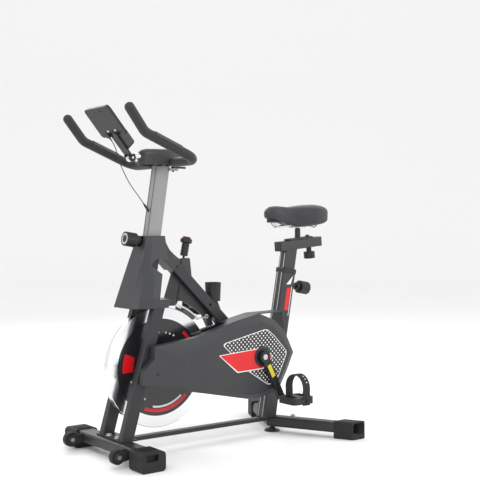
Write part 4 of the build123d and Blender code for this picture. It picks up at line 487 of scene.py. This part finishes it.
# ------------------------------------------------------------------ pieces
def saddle_shell(shrink):
    """The saddle's padding: for an angle round its pear-shaped plan and a height parameter, the skirt rises,
    rolls over and closes at the crown. Skirt, roll and crown each follow a curve from nose to tail, given in mm
    at shares of the length."""
    crown_at, crown_mm = (0, 0.08, 0.4, 0.7, 0.9, 1), (855, 862, 856, 866, 869, 860)
    skirt_at, skirt_mm = (0, 0.2, 0.5, 0.78, 1), (822, 804, 787, 792, 811)
    roll_at, roll_mm = (0, 0.2, 0.5, 0.8, 1), (16, 24, 26, 30, 26)
    low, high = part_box("saddle_cushion")
    length, half = high.x - low.x - 2 * shrink, (high.y - low.y) / 2 - shrink
    steps, wall_rows, top_rows = 160, 10, 26
    turn = np.linspace(0, FULL_TURN, steps, endpoint=False)
    x = 0.5 - 0.5 * np.cos(turn)
    nose, grow = 0.30, 1 / (1 + np.exp(-(x - 0.54) * 8.5))
    width = (nose + (1 - nose) * grow) * np.power(np.clip(1 - np.abs(2 * x - 1) ** 5.5, 0, 1), 0.5)
    edge = np.stack([x * length, np.sign(np.sin(turn)) * width * half], 1)
    along = edge[:, 0] / length
    skirt = np.interp(along, skirt_at, skirt_mm) * MM
    roll = np.interp(along, roll_at, roll_mm) * MM
    spine = np.interp(along, crown_at, crown_mm) * MM
    rise = np.linspace(0, 1, wall_rows)[:, None]
    wall_z = skirt + rise * (spine - roll - skirt)
    wall = np.stack([np.broadcast_to(edge[:, 0], wall_z.shape), np.broadcast_to(edge[:, 1], wall_z.shape),
                     wall_z], -1)
    inward = np.linspace(0, 1, top_rows)[1:, None]
    fold = np.sin(inward * math.pi / 2)
    centre_x = length * np.clip(0.12 + 0.76 * along, 0, 1)
    scale = np.cos(inward * math.pi / 2) ** 0.75
    top_x = centre_x + (edge[:, 0] - centre_x) * scale
    top_y = edge[:, 1] * scale
    spine_there = np.interp(top_x / length, crown_at, crown_mm) * MM
    top_z = (spine - roll) * (1 - fold) + spine_there * fold
    top = np.stack([top_x, top_y, top_z], -1)
    points = np.concatenate([wall, top]) + np.array((low.x + shrink, 0, 0))
    faces = grid_faces(len(points), steps, False, True)
    # the last ring has closed to a line: quads join its two sides, with a triangle at each end
    last = (len(points) - 1) * steps
    half_steps = steps // 2
    for i in range(half_steps):
        mirrored = (steps - i) % steps
        mirrored_next = steps - i - 1
        if i == 0:
            faces.append([last, last + 1, last + mirrored_next])
        elif i == half_steps - 1:
            faces.append([last + i, last + i + 1, last + mirrored])
        else:
            faces.append([last + i, last + i + 1, last + mirrored_next, last + mirrored])
    faces.append(list(range(steps)))
    return points, faces


class BIKE_OT_saddle(bpy.types.Operator):
    """Build the padded saddle as one skin and swell it as cloth"""

    bl_idname = "bike.saddle"
    bl_label = "Saddle"

    def execute(self, context):
        sizes = context.scene.bike_sizes
        pad = link_mesh("saddle_pad", *saddle_shell(sizes.swell / 2), None, "vinyl", "saddle_vinyl")
        remesh = pad.modifiers.new("even_cells", "REMESH")
        remesh.mode, remesh.voxel_size = "VOXEL", 4 * MM
        self.settle(pad)
        self.swell(pad, sizes.swell)
        smooth = pad.modifiers.new("soften", "SMOOTH")
        smooth.factor, smooth.iterations = 0.5, 6
        finer = pad.modifiers.new("finer", "SUBSURF")
        finer.levels = finer.render_levels = 1
        self.settle(pad)
        for face in pad.data.polygons:
            face.use_smooth = True
        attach(pad, "saddle")
        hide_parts("saddle_cushion")
        return {"FINISHED"}

    def settle(self, pad):
        """Turn what the modifiers give into the mesh itself."""
        shape = bpy.data.meshes.new_from_object(pad.evaluated_get(bpy.context.evaluated_depsgraph_get()))
        pad.modifiers.clear()
        pad.data = shape

    def swell(self, pad, cap):
        """Blow the padding up as cloth, and let no point move further than the cap."""
        rest = np.zeros(len(pad.data.vertices) * 3)
        pad.data.vertices.foreach_get("co", rest)
        cloth = pad.modifiers.new("cloth", "CLOTH")
        cloth.settings.use_pressure = True
        cloth.settings.uniform_pressure_force = 4
        cloth.settings.effector_weights.gravity = 0
        scene = bpy.context.scene
        for number in range(1, 21):
            scene.frame_set(number)
        moved = pad.evaluated_get(bpy.context.evaluated_depsgraph_get()).data
        there = np.zeros(len(moved.vertices) * 3)
        moved.vertices.foreach_get("co", there)
        pad.modifiers.clear()
        shift = (there - rest).reshape(-1, 3)
        size = np.linalg.norm(shift, axis=1, keepdims=True)
        shift *= np.minimum(1, cap / np.maximum(size, 1e-9))
        pad.data.vertices.foreach_set("co", (rest.reshape(-1, 3) + shift).ravel())
        pad.data.update()
        scene.frame_set(1)


class BIKE_OT_guard_decals(bpy.types.Operator):
    """Lay the guard's dotted panel, red arrow and outlines on its outer face"""

    bl_idname = "bike.guard_decals"
    bl_label = "Guard decals"

    def execute(self, context):
        film = context.scene.bike_sizes.decal
        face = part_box("belt_guard")[0].y
        # outlines in mm from the crank's axis
        panel = rounded([(-171, 51), (-164, 59), (13, 96), (27, 93), (60, 67), (113, 11), (110, -4), (74, -78),
                         (60, -99), (27, -103), (-56, -51)], 8)
        arrow = rounded([(-190, 17), (8, 30), (20, 28), (46, -6), (-1, -42), (-111, -46)], 4)
        middle = panel.mean(0)
        border = middle + (panel - middle) * 1.03
        arrow_middle = arrow.mean(0)
        arrow_border = arrow_middle + (arrow - arrow_middle) * (1.035, 1.09)
        films = (("guard_panel_border", border, 1, "white_film"), ("guard_panel", panel, 1.6, "dots"),
                 ("guard_arrow_border", arrow_border, 2.2, "white_film"),
                 ("guard_arrow", arrow, 2.8, "red_film"))
        for name, outline, layers, finish in films:
            points, faces = side_slab(outline, CRANK, face, -film * layers)
            link_mesh(name, points, faces, "frame", finish, "cover_plastic", smooth=False)
        return {"FINISHED"}


class BIKE_OT_guard_trim(bpy.types.Operator):
    """Add the guard's crank boss and its screw"""

    bl_idname = "bike.guard_trim"
    bl_label = "Guard trim"

    def execute(self, context):
        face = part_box("belt_guard")[0].y
        boss = [(14, 1), (14, -3.2), (15, -3.8), (30, -3.8), (35, -3), (37, -1.6), (37, 0), (36, 1)]
        points, _ = lathe(boss, (CRANK.x, face, CRANK.z), (0, 1, 0))
        link_mesh("crank_boss", points, grid_faces(len(boss), 56, True, True), "frame", "black",
                  "black_plastic")
        hole = (CRANK.x - 440 * MM, face + 8.5 * MM, CRANK.z - 25 * MM)
        link_mesh("guard_screw", *screw_head(hole, (0, -1, 0), 3.6), "frame", "black", "black_plastic")
        return {"FINISHED"}


def screw_head(origin, axis, radius):
    """A pan head: a flat rim, a domed top and a round driver recess."""
    profile = [(radius, -0.4), (radius, 0.5), (radius * 0.86, 1.3), (radius * 0.62, 1.75),
               (radius * 0.42, 1.85), (radius * 0.4, 0.8), (0, 0.7)]
    return lathe(profile, origin, axis, 28)


class BIKE_OT_tube_decals(bpy.types.Operator):
    """Lay the films on the seat tube and the crank"""

    bl_idname = "bike.tube_decals"
    bl_label = "Tube decals"

    def execute(self, context):
        film = context.scene.bike_sizes.decal
        lean = SEAT_UP.x / SEAT_UP.z
        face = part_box("seat_tube")[0].y
        knob = Vector(JOINTS["seat_knob_turn"]["pos_m"])
        # each film in mm: across the tube from its middle, and its height from the floor
        shapes = (("seat_tube_red_film", [(-3, 463), (16, 463), (16, 548), (-3, 548)], "red_film", 1),
                  ("seat_tube_white_film", [(-9, 562), (13, 562), (20, 594)], "white_film", 1),
                  ("seat_tube_white_stripe", [(19, 440), (21.5, 440), (21.5, 552), (19, 552)], "white_film", 1))
        for name, corners, finish, layers in shapes:
            placed = [(knob.x / MM + (z - knob.z / MM) * lean + x, z) for x, z in corners]
            points, faces = side_slab(rounded(placed, 2), Vector((0, 0, 0)), face, -film * layers)
            link_mesh(name, points, faces, "frame", finish, "frame_paint", smooth=False)
        pedal = Vector(JOINTS["pedal_near_spin"]["pos_m"])
        along = (pedal - CRANK)
        along.y = 0
        along.normalize()
        arm_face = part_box("crank_arm_near")[1].y - 16 * MM
        label = rounded([(34, -8), (84, -8), (84, 8), (34, 8)], 2)
        points, faces = slab(label, (CRANK.x, arm_face, CRANK.z), along, ACROSS.cross(along), -1, 0.3)
        link_mesh("crank_film", points, faces, "crankset", "yellow_film", "crank_steel", smooth=False)
        return {"FINISHED"}


class BIKE_OT_flywheel_decals(bpy.types.Operator):
    """Lay the flywheel discs' red and white bands and dots"""

    bl_idname = "bike.flywheel_decals"
    bl_label = "Flywheel decals"

    def execute(self, context):
        film = context.scene.bike_sizes.decal
        # bands: inner and outer radius in mm, and where they start and end in degrees
        red_bands = ((146, 158, -114, -44), (146, 158, 24, 50), (108, 150, 158, 184))
        white_band = (135, 142, -102, -50)
        dot_radius, dot_circle = 3.6, 122
        dot_angles = (62, 70, 78, 92, 100, 200, 208, 216, 232, 240, -30, -22, 4, 12)
        low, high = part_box("flywheel_covers")
        red, white = [], []
        for face, sign in ((low.y, -1), (high.y, 1)):
            for band in red_bands:
                red.append(side_slab(arc_band(*band), FLYWHEEL, face, sign * film))
            white.append(side_slab(arc_band(*white_band), FLYWHEEL, face, sign * film))
            for angle in dot_angles:
                spot = arc_band(0.01, dot_radius, 0, 345, 12)[:12]
                at = dot_circle * np.array((math.cos(math.radians(angle)), math.sin(math.radians(angle))))
                white.append(side_slab(spot + at, FLYWHEEL, face, sign * film))
        link_mesh("flywheel_red_films", *joined(red), "flywheel_set", "red_film", "disc_plastic", smooth=False)
        link_mesh("flywheel_white_films", *joined(white), "flywheel_set", "white_film", "disc_plastic",
                  smooth=False)
        return {"FINISHED"}


class BIKE_OT_knob_trim(bpy.types.Operator):
    """Add the knobs' rings and caps"""

    bl_idname = "bike.knob_trim"
    bl_label = "Knob trim"

    def execute(self, context):
        outward = Vector(JOINTS["height_knob_turn"]["axis"])
        start = Vector(JOINTS["height_knob_turn"]["pos_m"])
        ring = [(19, 103), (19, 106.4), (18, 107), (14, 107), (13, 106.4), (13, 103)]
        points, _ = lathe(ring, start, outward)
        link_mesh("height_knob_ring", points, grid_faces(len(ring), 56, True, True), "height_clamp", "zinc",
                  "zinc_steel")
        top = ROD + ROD_UP * 75 * MM
        cap = [(0, -4), (14.2, -4), (14.6, 0), (14, 1.6), (11, 2.6), (6, 3.1), (0, 3.2)]
        link_mesh("resistance_knob_cap", *lathe(cap, top, ROD_UP), "tension_knob", "red", "red_plastic")
        seat_out = Vector(JOINTS["seat_knob_turn"]["axis"])
        seat_at = Vector(JOINTS["seat_knob_turn"]["pos_m"])
        disc = [(0, 115), (16, 115), (16.6, 116.6), (15, 117.4), (0, 117.8)]
        link_mesh("seat_knob_disc", *lathe(disc, seat_at, seat_out), "seat_clamp", "black", "black_plastic")
        down = Vector(JOINTS["slider_knob_turn"]["axis"])
        slider_at = Vector(JOINTS["slider_knob_turn"]["pos_m"])
        disc = [(0, 61), (14, 61), (14.6, 62.6), (13, 63.4), (0, 63.8)]
        link_mesh("slider_knob_disc", *lathe(disc, slider_at, down), "slider_clamp", "black", "black_plastic")
        return {"FINISHED"}


class BIKE_OT_end_caps(bpy.types.Operator):
    """Close the saddle tube's two ends with pressed plastic caps"""

    bl_idname = "bike.end_caps"
    bl_label = "End caps"

    def execute(self, context):
        # the tube's section, and how far its two ends lie from the slider knob's axis, in mm
        height, width = 37.0, 38.0
        front_end, rear_end = -155, 51
        up = Vector((-RAIL_ALONG.z, 0, RAIL_ALONG.x))
        joint = Vector(JOINTS["slider_knob_turn"]["pos_m"])
        half_w, half_h = width / 2, height / 2
        outline = rounded([(-half_w, -half_h), (half_w, -half_h), (half_w, half_h), (-half_w, half_h)], 4)
        caps = []
        for distance, sign in ((front_end, -1), (rear_end, 1)):
            origin = joint + RAIL_ALONG * distance * MM
            for scale, start, end in ((1.0, 0, 2.6), (0.9, 2.6, 3.4)):
                caps.append(slab(outline * scale, origin, ACROSS, up, sign * start, sign * end))
        link_mesh("rail_caps", *joined(caps), "seat_mast", "black", "black_plastic", smooth=False)
        return {"FINISHED"}


class BIKE_OT_welds(bpy.types.Operator):
    """Run rippled weld beads round the frame's welded joints"""

    bl_idname = "bike.welds"
    bl_label = "Weld beads"

    def bead(self, centre, right, forward, half_x, half_y):
        """A bead round a box section: a closed loop whose radius ripples every 3 mm."""
        loop = rounded([(-half_x, -half_y), (half_x, -half_y), (half_x, half_y), (-half_x, half_y)], 5, 8)
        closed = np.vstack([loop, loop[:1]])
        run = np.concatenate([[0], np.cumsum(np.linalg.norm(np.diff(closed, axis=0), axis=1))])
        even = np.arange(0, run[-1], 1.0)
        loop = np.stack([np.interp(even, run, closed[:, 0]), np.interp(even, run, closed[:, 1])], 1)
        path = np.array(centre) + (loop[:, :1] * np.array(right) + loop[:, 1:] * np.array(forward)) * MM
        radius = (1.9 + 0.35 * np.sin(even * FULL_TURN / 3)) * MM
        return tube_along(path, radius, 8, closed=True)

    def execute(self, context):
        beads = []
        legs_low, legs_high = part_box("fork_legs")
        # half sections of a leg and of the seat tube in mm, which a lean from upright stretches along X
        leg_half, leg_side, leg_lean, leg_y = 22.5, 15, 16, 65
        seat_half, seat_side, seat_lean = 31, 23, 10.02
        half_x = leg_half / math.cos(math.radians(leg_lean))
        for y in (-leg_y * MM, leg_y * MM):
            low_x = legs_low.x + half_x * MM
            beads.append(self.bead((low_x, y, legs_low.z), (1, 0, 0), (0, 1, 0), half_x, leg_side))
            high_x = legs_high.x - half_x * MM
            beads.append(self.bead((high_x, y, legs_high.z), (1, 0, 0), (0, 1, 0), half_x, leg_side))
        seat_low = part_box("seat_tube")[0]
        half_seat = seat_half / math.cos(math.radians(seat_lean))
        seat_foot = (seat_low.x + half_seat * MM, 0, seat_low.z)
        beads.append(self.bead(seat_foot, (1, 0, 0), (0, 1, 0), half_seat, seat_side))
        link_mesh("weld_beads", *joined(beads), "frame", "weld", "frame_paint")
        return {"FINISHED"}


class BIKE_OT_console_trim(bpy.types.Operator):
    """Add the console's screen and bezel and the phone holder's rubber strips"""

    bl_idname = "bike.console_trim"
    bl_label = "Console trim"

    def execute(self, context):
        def on_holder(outline, out, low, high, name, finish, slot, radius=3.0):
            origin = TILT + HOLDER_OUT * out * MM
            points, faces = slab(rounded(outline, radius), origin, ACROSS, HOLDER_UP, low, high)
            return link_mesh(name, points, faces, "holder", finish, slot, smooth=False)

        case_face = 36.5
        on_holder([(-22, 46), (22, 46), (22, 70), (-22, 70)], case_face, 0, 1.1, "console_bezel", "black",
                  "black_plastic")
        on_holder([(-19, 49), (19, 49), (19, 67), (-19, 67)], case_face, 0, 1.5, "console_screen", "screen",
                  "disc_plastic")
        strips = []
        for x in (-56, -28, 0, 28, 56):
            strip = rounded([(x - 4, 118), (x + 4, 118), (x + 4, 188), (x - 4, 188)], 4)
            strips.append(slab(strip, TILT + HOLDER_OUT * 3 * MM, ACROSS, HOLDER_UP, 0, 1.2))
        link_mesh("holder_strips", *joined(strips), "holder", "rubber", "black_rubber", smooth=False)
        return {"FINISHED"}


class BIKE_OT_bolt_heads(bpy.types.Operator):
    """Add the bolts that hold the front bar and the rear bar"""

    bl_idname = "bike.bolt_heads"
    bl_label = "Bolt heads"

    def execute(self, context):
        bolts = []
        plate_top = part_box("fork_legs")[0].z
        middle = (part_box("front_feet")[0].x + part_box("front_feet")[1].x) / 2
        for y in (-28, 28):
            bolts.append(bolt((middle + 2 * MM, y * MM, plate_top), (0, 0, 1), 8))
        rear_low, rear_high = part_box("rear_stabilizer")
        for y in (-58, 58):
            x = rear_low.x + 55 * MM + abs(y) * math.tan(math.radians(26.5)) * MM
            bolts.append(bolt((x, y * MM, rear_high.z), (0, 0, 1), 7))
        link_mesh("frame_bolts", *joined(bolts), "frame", "zinc", "zinc_steel")
        return {"FINISHED"}


def bolt(origin, axis, radius):
    """A hexagon head on a round washer: six flats, chamfered at the top."""
    wide = radius * 1.5
    washer = lathe([(0, -0.2), (wide, -0.2), (wide, 1.2), (radius * 1.45, 1.6), (0, 1.6)], origin, axis)
    head = lathe([(0, 1.6), (radius, 1.6), (radius, 6.0), (radius * 0.86, 7.0), (0, 7.2)], origin, axis, 6)
    return joined([washer, head])


class BIKE_OT_strap_trim(bpy.types.Operator):
    """Add the toe straps' eyelets"""

    bl_idname = "bike.strap_trim"
    bl_label = "Strap trim"

    def execute(self, context):
        for side in ("near", "far"):
            low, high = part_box(f"pedal_strap_{side}")
            middle = Vector(((low.x + high.x) / 2, 0, 0))
            eyelets = []
            centre_y, top_z = (low.y + high.y) / 2, high.z
            # radius of the arc that the strap's top follows
            radius = 49.6 * MM
            for angle in (-62, -46, -30, 30, 46, 62):
                a = math.radians(angle)
                out = Vector((0, math.sin(a), math.cos(a)))
                at = Vector((middle.x + 4 * MM, centre_y, top_z - radius)) + out * (radius - 0.2 * MM)
                ring = [(0, -0.3), (2.6, -0.3), (2.6, 0.6), (1.6, 1.0), (1.3, 0.4), (0, 0.4)]
                eyelets.append(lathe(ring, at, out, 20))
            link_mesh(f"strap_eyelets_{side}", *joined(eyelets), f"pedal_{side}_set", "white_film",
                      "black_rubber")
        return {"FINISHED"}


class BIKE_OT_sensor_lead(bpy.types.Operator):
    """Hang the pulse sensors' lead from its strain relief to its plug"""

    bl_idname = "bike.sensor_lead"
    bl_label = "Sensor lead"

    route = [
        (-0.4079, 0.026, 1.0779), (-0.3975, 0.0255, 1.064), (-0.3915, 0.023, 1.046), (-0.3885, 0.018, 1.024),
        (-0.3825, 0.012, 0.999), (-0.3715, 0.007, 0.971), (-0.3565, 0.004, 0.942), (-0.339, 0.0015, 0.916),
        (-0.3143, 0.0, 0.8869), (-0.2971, 0.0, 0.8648),
    ]

    def line(self):
        """Points along the smooth line that the route's points pull."""
        curve = bpy.data.curves.new("lead_route", "CURVE")
        curve.dimensions, curve.resolution_u = "3D", 8
        spline = curve.splines.new("NURBS")
        spline.points.add(len(self.route) - 1)
        for point, place in zip(spline.points, self.route):
            point.co = (*place, 1)
        spline.order_u = 3
        spline.use_endpoint_u = True
        guide = bpy.data.objects.new("lead_route", curve)
        drawn = bpy.data.meshes.new_from_object(guide)
        points = np.zeros(len(drawn.vertices) * 3)
        drawn.vertices.foreach_get("co", points)
        bpy.data.objects.remove(guide)
        bpy.data.meshes.remove(drawn)
        bpy.data.curves.remove(curve)
        return points.reshape(-1, 3)

    def execute(self, context):
        sizes = context.scene.bike_sizes
        path = self.line()
        lead = link_mesh("lead_cord", *tube_along(path, sizes.lead / 2, 12), None, "lead", "lead_jacket")
        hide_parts("sensor_lead")
        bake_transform(lead)
        return {"FINISHED"}


class BIKE_OT_stage(bpy.types.Operator):
    """Set the pale floor, the studio lights and the camera"""

    bl_idname = "bike.stage"
    bl_label = "Stage"

    def execute(self, context):
        scene = context.scene
        steps = np.linspace(0, math.pi / 2, 12)
        depth, radius, half = 9.0, 3.0, 14.0
        bend = [(depth + radius * math.sin(a), radius - radius * math.cos(a)) for a in steps]
        profile = [(-depth, 0.0), *bend, (depth + radius, 9.0)]
        forward = np.array((math.sin(YAW), math.cos(YAW), 0))
        right = np.array((math.cos(YAW), -math.sin(YAW), 0))
        points = [forward * run + right * side + np.array((0, 0, z))
                  for run, z in profile for side in (-half, half)]
        faces = [(2 * i, 2 * i + 2, 2 * i + 3, 2 * i + 1) for i in range(len(profile) - 1)]
        mesh = bpy.data.meshes.new("studio_floor")
        mesh.from_pydata([tuple(point) for point in points], [], faces)
        floor = bpy.data.objects.new("studio_floor", mesh)
        scene.collection.objects.link(floor)
        # matt paper: an even white that takes soft shadows and hardly reflects
        material, _, shader, _ = new_material("matt_white_paper", 0.9)
        shader.inputs["Base Color"].default_value = linear("#f4f4f4")
        mesh.materials.append(material)
        for face in mesh.polygons:
            face.use_smooth = True
        world = bpy.data.worlds.new("studio_air")
        world.use_nodes = True
        world.node_tree.nodes["Background"].inputs["Color"].default_value = (1, 1, 1, 1)
        world.node_tree.nodes["Background"].inputs["Strength"].default_value = 1.0
        scene.world = world
        lights = (("key", (-2.6, -2.2, 3.2), 2.2, 62), ("fill", (2.6, -2.6, 2.0), 2.6, 34),
                  ("rim", (0.6, 2.8, 2.8), 2.0, 50))
        for name, place, size, power in lights:
            lamp = bpy.data.lights.new(name, "AREA")
            lamp.energy, lamp.size = power, size
            holder = bpy.data.objects.new(name, lamp)
            holder.location = place
            aim = Vector((0, 0, 0.6)) - Vector(place)
            holder.rotation_euler = aim.to_track_quat("-Z", "Y").to_euler()
            scene.collection.objects.link(holder)
        camera = bpy.data.objects.new("camera", bpy.data.cameras.new("camera"))
        camera.data.lens, camera.data.sensor_width = LENS, 36.0
        camera.location = CAMERA_PLACE
        heading = Vector((math.sin(YAW) * math.cos(PITCH), math.cos(YAW) * math.cos(PITCH), -math.sin(PITCH)))
        camera.rotation_euler = heading.to_track_quat("-Z", "Y").to_euler()
        scene.collection.objects.link(camera)
        scene.camera = camera
        scene.view_settings.view_transform = "Standard"
        return {"FINISHED"}


operators = (
    BIKE_OT_stage, BIKE_OT_saddle, BIKE_OT_guard_decals, BIKE_OT_guard_trim, BIKE_OT_tube_decals,
    BIKE_OT_flywheel_decals, BIKE_OT_knob_trim, BIKE_OT_end_caps, BIKE_OT_welds, BIKE_OT_console_trim,
    BIKE_OT_bolt_heads, BIKE_OT_strap_trim, BIKE_OT_sensor_lead,
)


class BIKE_PT_panel(bpy.types.Panel):
    """Sizes, colours and pieces of the bike"""

    bl_label = "Indoor cycling bike"
    bl_space_type = "VIEW_3D"
    bl_region_type = "UI"
    bl_category = "Bike"

    def draw(self, context):
        for group in (context.scene.bike_sizes, context.scene.bike_colours):
            for name in group.__annotations__:
                self.layout.prop(group, name)
        for operator in operators:
            self.layout.operator(operator.bl_idname)


classes = (BikeSizes, BikeColours, *operators, BIKE_PT_panel)


def register():
    """Register the classes and hang the settings on the scene."""
    for kind in classes:
        bpy.utils.register_class(kind)
    bpy.types.Scene.bike_sizes = bpy.props.PointerProperty(type=BikeSizes)
    bpy.types.Scene.bike_colours = bpy.props.PointerProperty(type=BikeColours)


def unregister():
    """Take the settings and the classes away again."""
    del bpy.types.Scene.bike_sizes, bpy.types.Scene.bike_colours
    for kind in reversed(classes):
        bpy.utils.unregister_class(kind)


def main():
    """Register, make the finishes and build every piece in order."""
    register()
    finishes.update(make_materials())
    for operator in operators:
        group, name = operator.bl_idname.split(".")
        getattr(getattr(bpy.ops, group), name)()


if __name__ == "__main__":
    main()
